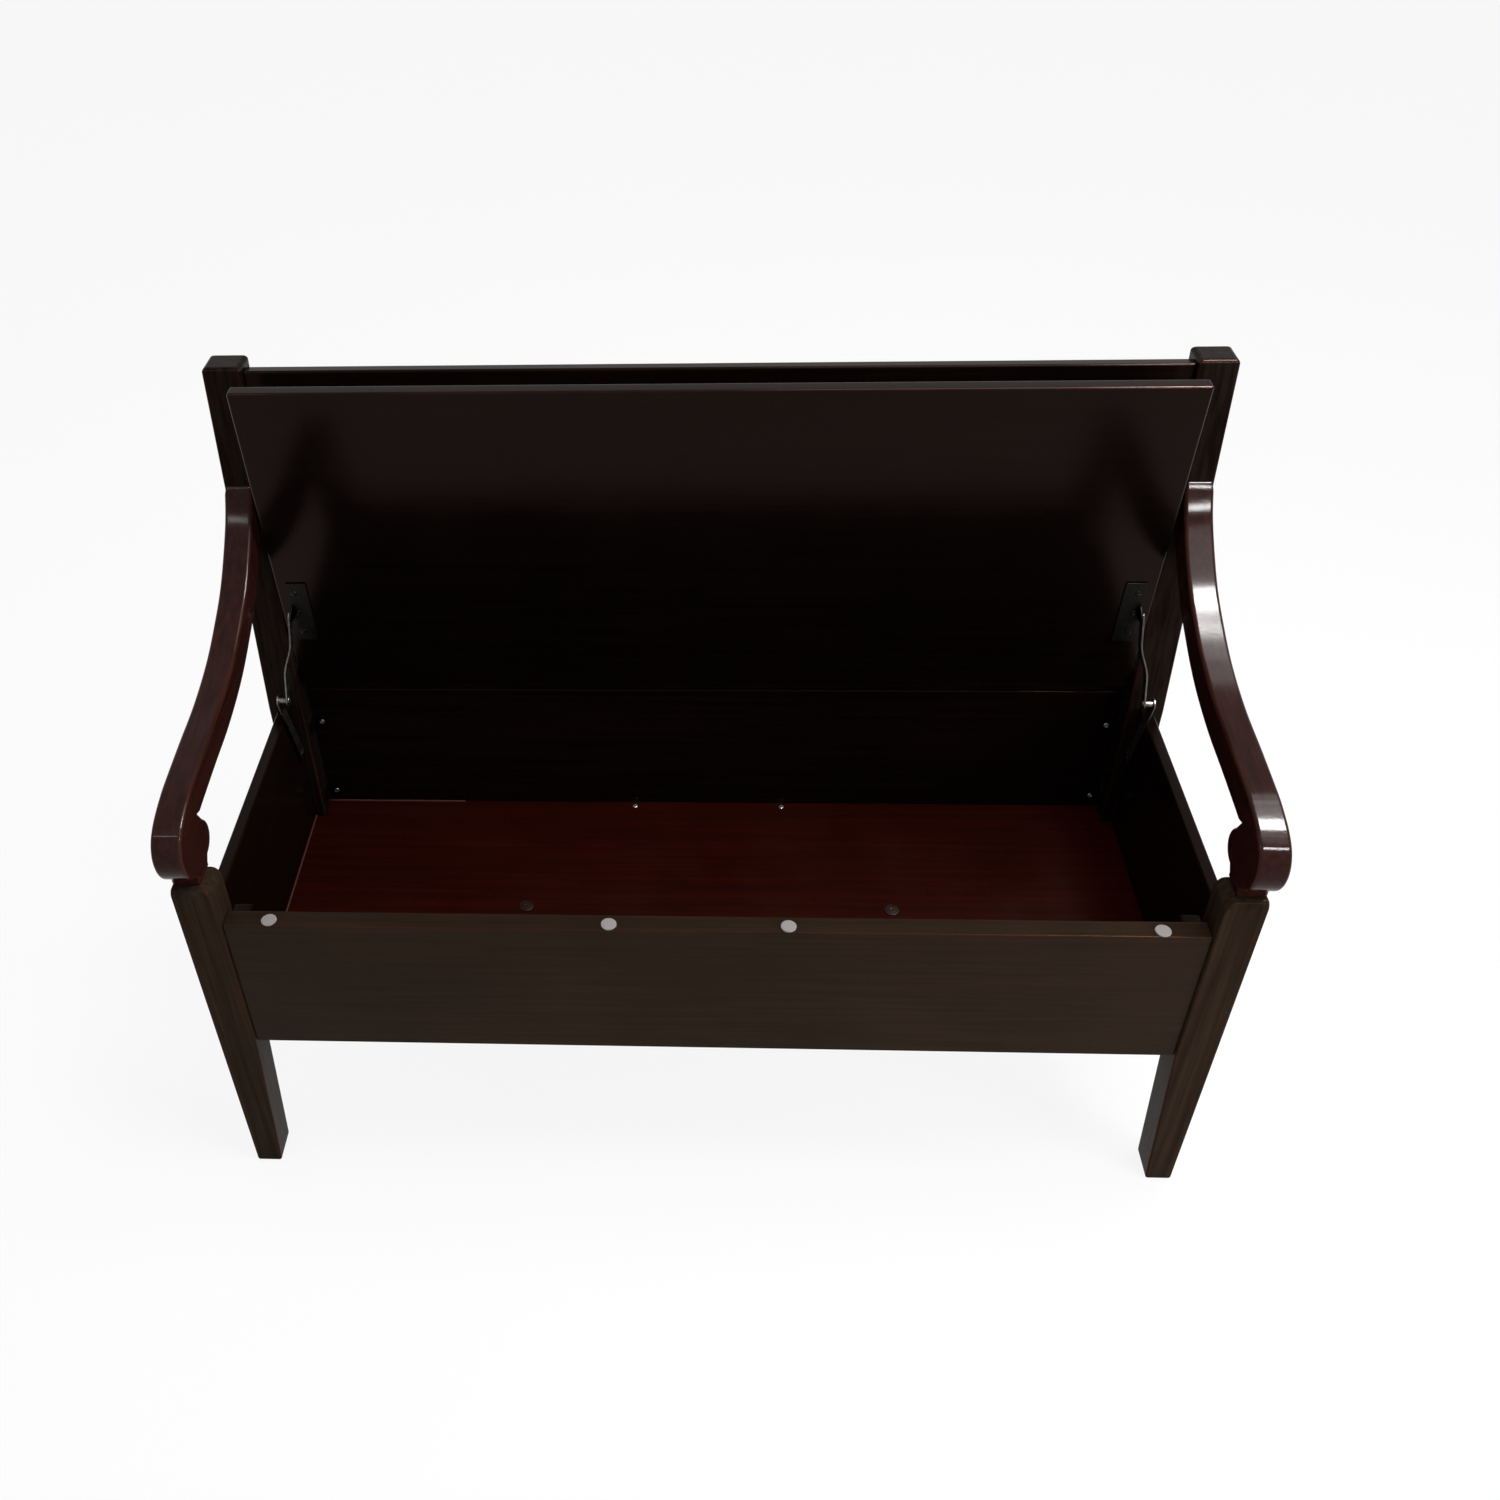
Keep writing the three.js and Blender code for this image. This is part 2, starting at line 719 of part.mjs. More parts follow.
// Lid, moving hinge leaves and stay brackets, modelled closed round the hinge axis and swung open
function addLid(group) {
  const swing = new THREE.Group();
  swing.position.set(0, hinge_y, hinge_z);
  swing.rotation.x = -lid_open;
  group.add(swing);
  const lid_side = leg_inner - lid_side_clearance;
  const top = lid_top - hinge_z;
  const underside = lid_underside - hinge_z;
  const lid = board(
    [-lid_side, -hinge_to_board - lid_depth, underside],
    [lid_side, -hinge_to_board, top],
    lid_ease,
  );
  addPiece(swing, "lid", lid, "board_wood");
  hinge_place_shares.forEach((share, i) => {
    const place = ["left", "middle", "right"][i];
    addPiece(swing, `hinge_moving_leaf_${place}`, hingeLeaf(share * leg_inner, false), "hinge_metal");
  });
  addPair(swing, "stay_lid_bracket", lidBracket(underside), "stay_metal");
}

// Where the stay's layers lie on the right side, from the box's side inwards
const plate_inner = side_inner - fit_gap - stay_thickness;
const lower_arm_outer = plate_inner - stay_screw_height - fit_gap;
const lower_arm_inner = lower_arm_outer - stay_thickness;
const link_outer = lower_arm_inner - stay_spacer_length - fit_gap;
const link_inner = link_outer - stay_thickness;
const ear_outer_x = link_inner - stay_jog - fit_gap;
const ear_inner_x = ear_outer_x - stay_thickness;

// Bracket under the lid with an ear and the pin that the upper link hangs on
function lidBracket(underside) {
  const seat = underside - fit_gap;
  const foot = alongZ(
    roundedRectangle(
      ear_outer_x - lid_bracket_width, -stay_along - lid_bracket_front,
      ear_outer_x, -stay_along + lid_bracket_back, stay_thickness, ease_steps),
    seat - stay_thickness, seat,
  );
  const ear_shape = shapeOf([
    [-stay_along + lid_ear_width / 2, seat - stay_thickness / 2],
    [-stay_along - lid_ear_width / 2, seat - stay_thickness / 2],
    ...arcPoints(-stay_along, -stay_drop, stay_width / 2, stay_width / 2, 180, 360, arc_steps),
  ]);
  const ear = alongX(ear_shape, ear_inner_x, ear_outer_x);
  const pin_end = ear_outer_x + stay_thickness + 2 * fit_gap;
  const pin = rod("x", -stay_along, -stay_drop, ear_inner_x, pin_end + stay_head_thickness / 2,
    stay_pin_radius, stay_steps);
  const head = rod("x", -stay_along, -stay_drop, pin_end, pin_end + stay_head_thickness,
    stay_head_radius, stay_steps);
  const screw_x = ear_inner_x - lid_bracket_width * lid_bracket_screw_share;
  const screws = [-1, 0, 1].map((i) => {
    const y = -stay_along + i * lid_bracket_screw_pitch;
    const low = seat - stay_thickness - stay_screw_height;
    return rod("z", screw_x, y, low, seat - stay_thickness / 2, stay_screw_radius, screw_steps);
  });
  return joined(foot, ear, pin, head, ...screws);
}

// Flat bar with round ends from 0, 0 to another place in y and z
function barShape(end_y, end_z, width) {
  const turn = THREE.MathUtils.radToDeg(Math.atan2(end_z, end_y));
  const radius = width / 2;
  return shapeOf([
    ...arcPoints(end_y, end_z, radius, radius, turn - 90, turn + 90, arc_steps),
    ...arcPoints(0, 0, radius, radius, turn + 90, turn + 270, arc_steps),
  ]);
}

// Plate on the box's side, with its two screws and the pin that the lower arm turns on
function addStayPlates(group) {
  const half = stay_plate_width / 2;
  const plate_shape = roundedRectangle(
    stay_pivot_y - half, stay_pivot_z - stay_plate_below,
    stay_pivot_y + half, stay_pivot_z + stay_plate_above, half / 2, ease_steps);
  const plate = alongX(plate_shape, plate_inner, side_inner - fit_gap);
  const pin_end = lower_arm_inner - fit_gap;
  const pin = rod("x", stay_pivot_y, stay_pivot_z, pin_end - stay_head_thickness / 2, side_inner - fit_gap,
    stay_pin_radius, stay_steps);
  const head = rod("x", stay_pivot_y, stay_pivot_z, pin_end - stay_head_thickness, pin_end,
    stay_head_radius, stay_steps);
  const screws = [1, 2].map((i) => {
    const z = stay_pivot_z + (i * stay_plate_above) / 2 - stay_screw_radius;
    return rod("x", stay_pivot_y, z, plate_inner - stay_screw_height / 2, side_inner - fit_gap,
      stay_screw_radius, screw_steps);
  });
  addPair(group, "stay_side_plate", joined(plate, pin, head, ...screws), "stay_metal");
}

// Lower arms turn with the lid, so they are modelled as when it is closed and swung by the same angle
function addLowerArms(group) {
  const swing = new THREE.Group();
  swing.position.set(0, stay_pivot_y, stay_pivot_z);
  swing.rotation.x = -lid_open;
  group.add(swing);
  const hole = stay_pin_radius + stay_hole_clearance;
  const bar = alongX(barShape(-stay_along, -stay_drop, stay_width), lower_arm_inner, lower_arm_outer);
  const spacer = rod("x", -stay_along, -stay_drop, link_outer + fit_gap, lower_arm_outer,
    stay_spacer_radius, stay_steps);
  const pin_end = link_inner - fit_gap;
  const pin = rod("x", -stay_along, -stay_drop, pin_end - stay_head_thickness / 2, lower_arm_outer,
    stay_pin_radius, stay_steps);
  const head = rod("x", -stay_along, -stay_drop, pin_end - stay_head_thickness, pin_end,
    stay_head_radius, stay_steps);
  const bore = rod("x", 0, 0, lower_arm_inner - overrun, lower_arm_outer + overrun, hole, stay_steps);
  addPair(swing, "stay_lower_arm", cut(joined(bar, spacer, pin, head), bore), "stay_metal");
}

// Upper links keep their direction while the lid swings.
// Each is a bar jogged inwards from the lower arm's pin to the lid bracket's pin.
function addUpperLinks(group) {
  const elbow = new THREE.Vector3(0, -stay_along, -stay_drop);
  elbow.applyAxisAngle(new THREE.Vector3(1, 0, 0), -lid_open);
  const place = new THREE.Group();
  place.position.set(0, stay_pivot_y + elbow.y, stay_pivot_z + elbow.z);
  group.add(place);
  const end_y = hinge_y - stay_pivot_y;
  const end_z = hinge_z - stay_pivot_z;
  const length = Math.hypot(end_y, end_z);
  const slant = Math.atan2(end_y, end_z);
  const reach = length + stay_width;
  const jog_start = length * stay_jog_start_share;
  const jog_end = length * stay_jog_end_share;
  const front_view = shapeOf([
    [link_inner, -stay_width],
    [link_outer, -stay_width],
    [link_outer, jog_start],
    [link_outer - stay_jog, jog_end],
    [link_outer - stay_jog, reach],
    [link_inner - stay_jog, reach],
    [link_inner - stay_jog, jog_end],
    [link_inner, jog_start],
  ]);
  const jogged = alongY(front_view, -stay_width, stay_width);
  jogged.rotateX(-slant);
  const low = link_inner - stay_jog - overrun;
  const high = link_outer + overrun;
  const outline = alongX(barShape(end_y, end_z, stay_width), low, high);
  const hole = stay_pin_radius + stay_hole_clearance;
  const bores = [[0, 0], [end_y, end_z]].map(([y, z]) => rod("x", y, z, low, high, hole, stay_steps));
  const link = toGeometry(toSolid(jogged).intersect(toSolid(outline)));
  addPair(place, "stay_upper_link", cut(link, ...bores), "stay_metal");
}

// The bench
const bench = new THREE.Group();
addPair(bench, "front_leg", frontLeg(), "frame_wood");
addPair(bench, "back_post", backPost(), "frame_wood");
addPair(bench, "arm", arm(), "frame_wood");
addBackrest(bench);
addBox(bench);
addFloor(bench);
addPads(bench);
addAngles(bench);
addFixedHinges(bench);
addLid(bench);
addStayPlates(bench);
addLowerArms(bench);
addUpperLinks(bench);

// Origin on the ground at the middle of the bench's box
const extent = new THREE.Box3().setFromObject(bench, true);
const middle = extent.getCenter(new THREE.Vector3());
bench.position.set(-middle.x, -middle.y, -extent.min.z);

export default bench;
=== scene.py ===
"""Deacons bench with its seat lid held open by stays: finely modelled boards, legs, arms and fittings, and the stage.

Lengths are in metres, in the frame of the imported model: x to the right, y from front to back, z up.
"""

import json

import bmesh
import bpy
import numpy as np
from bpy.props import FloatProperty, FloatVectorProperty, PointerProperty
from mathutils import Matrix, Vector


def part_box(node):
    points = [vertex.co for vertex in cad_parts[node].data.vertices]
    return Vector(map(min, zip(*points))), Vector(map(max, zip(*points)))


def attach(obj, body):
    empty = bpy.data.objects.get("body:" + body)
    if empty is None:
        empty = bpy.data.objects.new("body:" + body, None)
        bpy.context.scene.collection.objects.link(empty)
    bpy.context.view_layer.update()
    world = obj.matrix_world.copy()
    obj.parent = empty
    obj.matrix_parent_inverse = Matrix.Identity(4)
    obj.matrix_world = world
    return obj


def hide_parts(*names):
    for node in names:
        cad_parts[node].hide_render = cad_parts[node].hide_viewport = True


bl_info = {
    "name": "Deacons bench",
    "version": (1, 0, 0),
    "blender": (4, 5, 0),
    "location": "3D View > Sidebar > Bench",
    "description": "Builds a stained deacons bench with a lift-up seat lid, and its stage",
    "category": "Add Mesh",
}

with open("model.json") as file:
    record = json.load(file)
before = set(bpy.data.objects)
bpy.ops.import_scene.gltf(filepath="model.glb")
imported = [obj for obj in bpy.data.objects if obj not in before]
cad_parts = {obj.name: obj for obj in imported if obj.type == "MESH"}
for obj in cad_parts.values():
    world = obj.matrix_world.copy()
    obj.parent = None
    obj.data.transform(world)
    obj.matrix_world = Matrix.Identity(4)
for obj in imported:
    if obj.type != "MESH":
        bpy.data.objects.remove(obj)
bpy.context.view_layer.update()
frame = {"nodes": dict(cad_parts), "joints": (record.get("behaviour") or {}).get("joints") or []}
MATERIALS = {}

# How the name of each wooden part's finish begins
WOOD = "lacquered_rubberwood_"


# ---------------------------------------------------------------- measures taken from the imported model


def box_of(node):
    """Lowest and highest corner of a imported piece."""
    low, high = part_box(node)
    return np.array(low), np.array(high)


def points_of(node):
    """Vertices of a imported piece."""
    mesh = frame["nodes"][node].data
    points = np.empty(len(mesh.vertices) * 3)
    mesh.vertices.foreach_get("co", points)
    return points.reshape(-1, 3)


def joint_place(name):
    """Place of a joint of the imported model."""
    return np.array(next(joint for joint in frame["joints"] if joint["name"] == name)["pos_m"])


LEG_LOW, LEG_HIGH = box_of("front_leg_right")
POST_LOW, POST_HIGH = box_of("back_post_right")
ARM_LOW, ARM_HIGH = box_of("arm_right")
LID_HINGE = joint_place("lid_hinge")

# Gap between pieces that lie against each other, and the radius of the flat in the middle of a turned end
FIT_GAP = 0.0003
TIP = 0.0003

# Height of a pan head, and how deep its cross recess is
SCREW_HEAD_HEIGHT = 0.0016
RECESS_DEPTH = 0.0009

# Order that puts an outline's two measures and the place along an axis into x, y and z
AXES = {"x": [2, 0, 1], "y": [1, 2, 0], "z": [0, 1, 2]}


# ---------------------------------------------------------------- sizes and colours that a user would change


def length(name, description, default):
    """A length in metres."""
    return FloatProperty(name=name, description=description, default=default, unit="LENGTH", precision=4)


def linear(hex_colour):
    """Linear red, green and blue of an sRGB hex colour."""
    channels = np.array([int(hex_colour[i : i + 2], 16) for i in (1, 3, 5)]) / 255
    return tuple(np.where(channels <= 0.04045, channels / 12.92, ((channels + 0.055) / 1.055) ** 2.4))


def colour(name, description, hex_colour):
    """A colour whose default is an sRGB hex value."""
    return FloatVectorProperty(
        name=name, description=description, default=linear(hex_colour), subtype="COLOR", min=0, max=1, size=3
    )


def number(name, description, default, subtype="NONE"):
    """A plain number, a share or an angle in radians."""
    return FloatProperty(name=name, description=description, default=default, subtype=subtype)


class BenchFrameSizes(bpy.types.PropertyGroup):
    """Legs, posts and arms."""

    leg_ease: length("Leg edge round", "Radius of a front leg's long edges", 0.0025)
    foot_round: length("Foot round", "Radius of a foot's lower rim", 0.006)
    leg_front_round: length("Leg top front round", "Radius of the leg's top at the front", 0.01)
    leg_back_round: length("Leg top back round", "Radius of the leg's top at the back", 0.005)
    leg_inner_round: length("Leg top inner round", "Radius of the leg's top beside the arm", 0.016)
    leg_taper_height: length("Foot taper height", "Height at which the feet begin to narrow", 0.25)
    foot_width: length("Foot width", "Width of a foot on the ground", 0.0325)
    post_bend: length("Post bend", "Height above which the back posts lean", 0.455)
    post_low_depth: length("Post depth", "Depth of a back post below its bend", 0.052)
    post_top_depth: length("Post top depth", "Depth of a back post at its top", 0.042)
    post_ease: length("Post edge round", "Radius of a back post's long edges", 0.003)
    post_top_round: length("Post top round", "Radius of the rim of a back post's top", 0.0055)
    arm_depth: length("Arm depth", "Depth of the arm along its curve", 0.04)
    arm_rise: length("Arm rise", "Height of the arm above the leg's top, at the post", 0.27)
    arm_ease: length("Arm edge round", "Radius of the arm's edges", 0.0045)
    scroll_radius: length("Scroll radius", "Radius of the arm's round front", 0.0405)
    scroll_drop: length("Scroll drop", "Height of the scroll's round below its centre", 0.0435)
    scroll_overhang: length("Scroll overhang", "How far the scroll stands in front of the leg", 0.016)
    scroll_rise: length("Scroll height", "Height of the scroll's centre above the leg's top", 0.056)
    curl_radius: length("Curl radius", "Radius of the small curl behind the neck", 0.024)
    curl_rise: length("Curl height", "Height of the curl's centre above the leg's top", 0.037)
    neck_front: length("Neck setback", "How far the neck stands behind the leg's front", 0.0115)
    neck_front_rise: length("Neck front rise", "Height of the neck's straight foot at the front", 0.01)
    neck_back_rise: length("Neck back rise", "Height of the neck's straight foot at the back", 0.006)


class BenchBoardSizes(bpy.types.PropertyGroup):
    """Boards of the box, the backrest and the lid."""

    board_ease: length("Board edge round", "Radius of a box board's edges", 0.002)
    lid_ease: length("Lid edge round", "Radius of the lid's edges", 0.0032)
    lid_open: number("Lid angle", "How far the lid stands open", np.radians(85), "ANGLE")
    rail_round: length("Rail edge round", "Radius of the backrest rails' edges", 0.003)
    backrest_setback: length("Backrest setback", "How far the rails stand behind the posts' front", 0.01)
    backrest_depth: length("Backrest depth", "Thickness of the backrest's rails", 0.018)
    panel_thickness: length("Panel thickness", "Thickness of the backrest's panel", 0.006)
    # The pale bead's colour paints the highlight along the floor's joints
    highlight_bead: length("Glue bead", "Radius of the bead of glue beside the floor", 0.0016)
    panel_groove: length("Panel groove", "Depth of the grooves that hold the panel", 0.008)


class BenchFittingSizes(bpy.types.PropertyGroup):
    """Hinges, stays, screws and pads."""

    sheet_ease: length("Sheet edge round", "Radius of the edges of stamped steel", 0.0004)
    stay_thickness: length("Stay thickness", "Thickness of the stays' steel", 0.002)
    stay_width: length("Stay width", "Width of the lower arm and upper link", 0.014)
    stay_jog: length("Stay jog", "How far the upper link steps inwards", 0.01)
    pin_radius: length("Rivet radius", "Radius of the stays' rivets", 0.003)
    pin_head: length("Rivet head", "Radius of a rivet's head", 0.005)
    pin_head_height: length("Rivet head height", "Height of a rivet's head", 0.0015)
    spacer_radius: length("Spacer radius", "Radius of the spacer between lower arm and link", 0.004)
    screw_head: length("Screw head", "Radius of a screw's head", 0.004)
    screw_shank: length("Screw shank", "Radius of a screw's shank", 0.0018)
    floor_shank: length("Floor screw shank", "Radius of a floor screw's shank", 0.0025)
    cross_reach: length("Cross recess reach", "Length of each arm of a screw's cross recess", 0.0021)
    cross_width: length("Cross recess width", "Half the width of those arms", 0.00042)
    knuckle_radius: length("Knuckle radius", "Radius of a hinge's knuckles", 0.0025)
    knuckle_gap: length("Knuckle gap", "Gap between a hinge's knuckles", 0.0004)
    leaf_thickness: length("Leaf thickness", "Thickness of a hinge's leaf", 0.0012)
    leaf_height: length("Leaf height", "Height of a leaf below the hinge's axis", 0.018)
    leaf_offset: length("Leaf offset", "Distance from the hinge's axis to a leaf", 0.00015)
    leaf_screw: length("Leaf screw head", "Radius of a leaf's screw heads", 0.0026)
    angle_bend: length("Angle bend", "Radius inside a steel angle's bend", 0.0015)
    cap_groove: length("Cap groove", "Depth of the ring in a floor cap", 0.0004)


class BenchFinish(bpy.types.PropertyGroup):
    """Colours of the stain, the metals and the felt."""

    leg_stain: colour("Leg stain", "Legs", "#32271e")
    apron_stain: colour("Apron stain", "Apron", "#2b2018")
    leg_streak: colour("Leg streak", "Darker streaks of the legs' and apron's grain", "#241b14")
    post_stain: colour("Post stain", "Back posts", "#1c1511")
    arm_stain: colour("Arm stain", "Arms", "#2e1612")
    arm_streak: colour("Arm streak", "Darker streaks of the arms' grain", "#200e0a")
    board_stain: colour("Board stain", "Box boards and backrest", "#130a07")
    board_streak: colour("Board streak", "Darker streaks of the boards' grain", "#0a0504")
    lid_stain: colour("Lid stain", "Seat lid", "#0a0504")
    lid_streak: colour("Lid streak", "Darker streaks of the lid's grain", "#060302")
    floor_stain: colour("Floor stain", "Floor of the box", "#2d0903")
    floor_streak: colour("Floor streak", "Darker streaks of the floor's grain", "#200602")
    # The amber and rose tints of the gloss paint the reflection of a warm room; the clear one leaves the gloss untinted
    amber_painted_reflection: colour("Amber lacquer", "Tone of what the legs and apron mirror", "#ffb880")
    rose_painted_reflection: colour("Rose lacquer", "Tone of what the boards and lid mirror", "#ffc6ba")
    lacquer_clear: colour("Clear lacquer", "Tone of what the arms and floor mirror", "#ffffff")
    board_edge: colour("Rubbed board edge", "Where the boards' stain is thin along the edges", "#1c0d09")
    rubbed_edge: colour("Rubbed edge", "Where the stain is thin along the edges", "#3a1c14")
    bronze: colour("Hinge metal", "Hinges and steel angles", "#1c1814")
    dark_zinc: colour("Bracket metal", "Stays' side plates and lid brackets", "#1e1c1b")
    link_zinc: colour("Link metal", "Stays' lower arms and upper links", "#6a6763")
    bright_zinc: colour("Screw metal", "Screws and hinge pins", "#8c8a86")
    # The pale bead's colour paints the highlight along the floor's joints
    highlight_bead_tone: colour("Glue", "Bead of glue beside the floor", "#4a2c26")
    cap_brown: colour("Cap plastic", "Caps over the floor's screws", "#20100c")
    felt_white: colour("Felt", "Pads on the apron", "#8a8481")


class BenchStage(bpy.types.PropertyGroup):
    """Camera, lamps and floor."""

    lens: number("Lens", "Focal length on a 36 mm sensor", 34.04, "DISTANCE_CAMERA")
    pitch: number("Pitch", "How far the camera looks down", 0.684071, "ANGLE")
    yaw: number("Yaw", "How far the camera looks to the right", -0.06792, "ANGLE")
    roll: number("Roll", "How far the camera leans", -0.038245, "ANGLE")
    place: FloatVectorProperty(
        name="Camera place", description="Where the camera stands", subtype="TRANSLATION", size=3,
        default=(-0.006054, -1.341563, 1.669685),
    )
    shift_x: number("Shift x", "Sideways shift of the frame", 0.0803067)
    shift_y: number("Shift y", "Upward shift of the frame", -0.017298)
    floor_colour: colour("Floor colour", "Paint of the studio floor", "#ffffff")
    floor_lift: number("Floor lift", "How much of the floor shows as plain white", 0.88, "FACTOR")
    room_light: number("Room light", "Strength of the light from all sides", 0.4)
    key_light: number("Key light", "Glow of the soft lamps that light the bench", 7)
    glints: number("Glints", "Glow of the narrow lamps that only the gloss shows", 200)


# ---------------------------------------------------------------- shapes worked out with numpy


def quarter(steps):
    """Angles from 0 to a right angle."""
    return np.linspace(0, np.pi / 2, steps + 1)


def grid_faces(rings, points):
    """Quads of a tube whose vertices are rings of points: each joins two neighbours on a ring to the ring after."""
    ring, point = np.meshgrid(np.arange(rings - 1), np.arange(points), indexing="ij")
    after = (point + 1) % points
    corners = [ring * points + point, ring * points + after, (ring + 1) * points + after, (ring + 1) * points + point]
    return np.stack(corners, -1).reshape(-1, 4)


def tube_with_ends(grid, edge):
    """Closed tube from a grid of rings by points, with a flat face over each end. edge is each vertex's rubbing."""
    rings, points = grid.shape[:2]
    faces = grid_faces(rings, points).tolist()
    first = np.arange(points)
    faces.append(first[::-1].tolist())
    faces.append((first + (rings - 1) * points).tolist())
    edge = np.array(np.broadcast_to(edge, (rings, points)))
    edge[[0, -1]] = 0
    return grid.reshape(-1, 3), faces, edge.ravel()


def section_ring(low_x, high_x, low_y, high_y, radius, steps=4):
    """Rounded rectangles, one for each entry of the arrays given.

    Each corner's centre lies one radius in from both sides. A point is the centre plus the radius times the cosine
    and sine of its angle. The four corners follow each other anticlockwise.
    Returns x and y as arrays of levels by points, and how rubbed each point of a corner is.
    """
    columns = [np.asarray(v, float)[:, None] for v in (low_x, high_x, low_y, high_y, radius)]
    low_x, high_x, low_y, high_y, radius = columns
    left, right, bottom, top = low_x + radius, high_x - radius, low_y + radius, high_y - radius
    turn = quarter(steps)[None, :]
    x, y = [], []
    for i, (centre_x, centre_y) in enumerate(((right, top), (left, top), (left, bottom), (right, bottom))):
        angle = turn + i * np.pi / 2
        x.append(centre_x + radius * np.cos(angle))
        y.append(centre_y + radius * np.sin(angle))
    return np.concatenate(x, 1), np.concatenate(y, 1), np.tile(np.sin(2 * turn), (1, 4))


def rim_rounding(radius, steps):
    """Levels of a rounded rim: at angle a a level lies radius times 1 - cos a from the end, drawn in by radius
    times 1 - sin a."""
    turn = quarter(steps)
    return radius * (1 - np.cos(turn)), radius * (1 - np.sin(turn))


def eased_ends(low, high, ease, steps):
    """Levels of a piece with both ends rounded: where each lies, how far it is drawn in and how rubbed it is."""
    along, inset = rim_rounding(ease, steps)
    rubbed = np.sin(2 * quarter(steps))
    place = np.concatenate([low + along, high - along[::-1]])
    return place, np.concatenate([inset, inset[::-1]]), np.concatenate([rubbed, rubbed[::-1]])


def stacked(x, y, z):
    """Rings of points from their x and y and a height for each ring."""
    return np.stack([x, y, np.broadcast_to(z[:, None], x.shape)], -1)


def rounded_board(low, high, ease, steps=4):
    """Board between two corners with all its edges rounded.

    It is a stack of rounded rectangles: as far as the rounding of the ends draws a level in, its corners' radius
    falls short of ease.
    """
    z, drawn_in, ends = eased_ends(low[2], high[2], ease, steps)
    corner = np.maximum(ease - drawn_in, ease * 0.02)
    x, y, rubbed = section_ring(
        low[0] + drawn_in, high[0] - drawn_in, low[1] + drawn_in, high[1] - drawn_in, corner, steps
    )
    return tube_with_ends(stacked(x, y, z), np.maximum(rubbed, ends[:, None]))


def drawn_inwards(outline, distance):
    """A closed anticlockwise outline moved inwards by a distance.

    Each corner moves along the sum of its two sides' inward normals, divided by one plus their product, so that
    both sides end up that far in.
    """
    side = np.roll(outline, -1, 0) - outline
    side /= np.linalg.norm(side, axis=1, keepdims=True)
    normal = np.stack([-side[:, 1], side[:, 0]], 1)
    before = np.roll(normal, 1, 0)
    share = 1 + (normal * before).sum(1, keepdims=True)
    return outline + distance * (normal + before) / share


def eased_prism(outline, low, high, ease, axis, steps=4, blunt=None):
    """Closed outline carried along an axis, drawn in near both ends so that their rims are rounded.

    The outline holds (y, z) for axis x, (z, x) for axis y and (x, y) for axis z, anticlockwise.
    blunt holds two steps away from the outline's first corner: a small flat between their ends takes its place.
    """
    outline = np.asarray(outline, float)
    place, insets, rubbed = eased_ends(low, high, ease, steps)
    rings = np.stack([drawn_inwards(outline, inset) for inset in insets])
    if blunt is not None:
        rings = np.concatenate([rings[:, :1] + blunt[0], rings[:, :1] + blunt[1], rings[:, 1:]], 1)
    place = np.broadcast_to(place[:, None, None], rings.shape[:2] + (1,))
    grid = np.concatenate([rings, place], -1)[..., AXES[axis]]
    return tube_with_ends(grid, rubbed[:, None])


def arc(centre, radii, start, end, steps):
    """Points of an arc round a centre, from one angle to another in degrees, with one radius or one for each axis."""
    angle = np.radians(np.linspace(start, end, steps + 1))
    return np.asarray(centre) + np.asarray(radii) * np.stack([np.cos(angle), np.sin(angle)], 1)


def smooth_step(share):
    """Eases a share from 0 to 1 in and out: 3 share² - 2 share³."""
    return share * share * (3 - 2 * share)


def turned_piece(profile, place, axis, facing=1, steps=40, cross=None):
    """Piece turned on a lathe, from a profile of radius and height along an axis through a place.

    A point is the radius times the cosine and sine of its angle, and the height along the axis.
    facing -1 turns the piece end for end. cross holds half the width, the reach and the depth of a cross
    recess: a smooth step, 0.6 of the half width wide, falls to the depth where the smaller distance from the centre
    lines is under the half width and the larger one is under the reach.
    """
    radius, height = np.asarray(profile, float).T[:, :, None]
    angle = np.linspace(0, 2 * np.pi, steps, endpoint=False)[None, :]
    u, v = radius * np.cos(angle), radius * np.sin(angle)
    w = np.broadcast_to(height, u.shape).copy()
    if cross is not None:
        half_width, reach, depth = cross
        near, far = np.minimum(abs(u), abs(v)), np.maximum(abs(u), abs(v))
        wall = half_width * 0.6
        inside = np.clip((half_width - near) / wall + 0.5, 0, 1) * np.clip((reach - far) / wall, 0, 1)
        rim = np.argmax(radius[:, 0])
        w[rim:] -= depth * smooth_step(inside)[rim:]
    grid = np.stack([u, v * facing, w * facing], -1)[..., AXES[axis]]
    return tube_with_ends(grid + np.asarray(place), 0)


def domed_head(radius, height, base=0.0, flatness=0.6, steps=16):
    """Profile of a low dome from its rim to its top: the radius goes with the cosine of an angle, and the height
    with its sine to the power of the flatness."""
    angle = np.radians(np.linspace(0, 88, steps + 1))
    return np.stack([radius * np.cos(angle), base + height * np.sin(angle) ** flatness], 1)


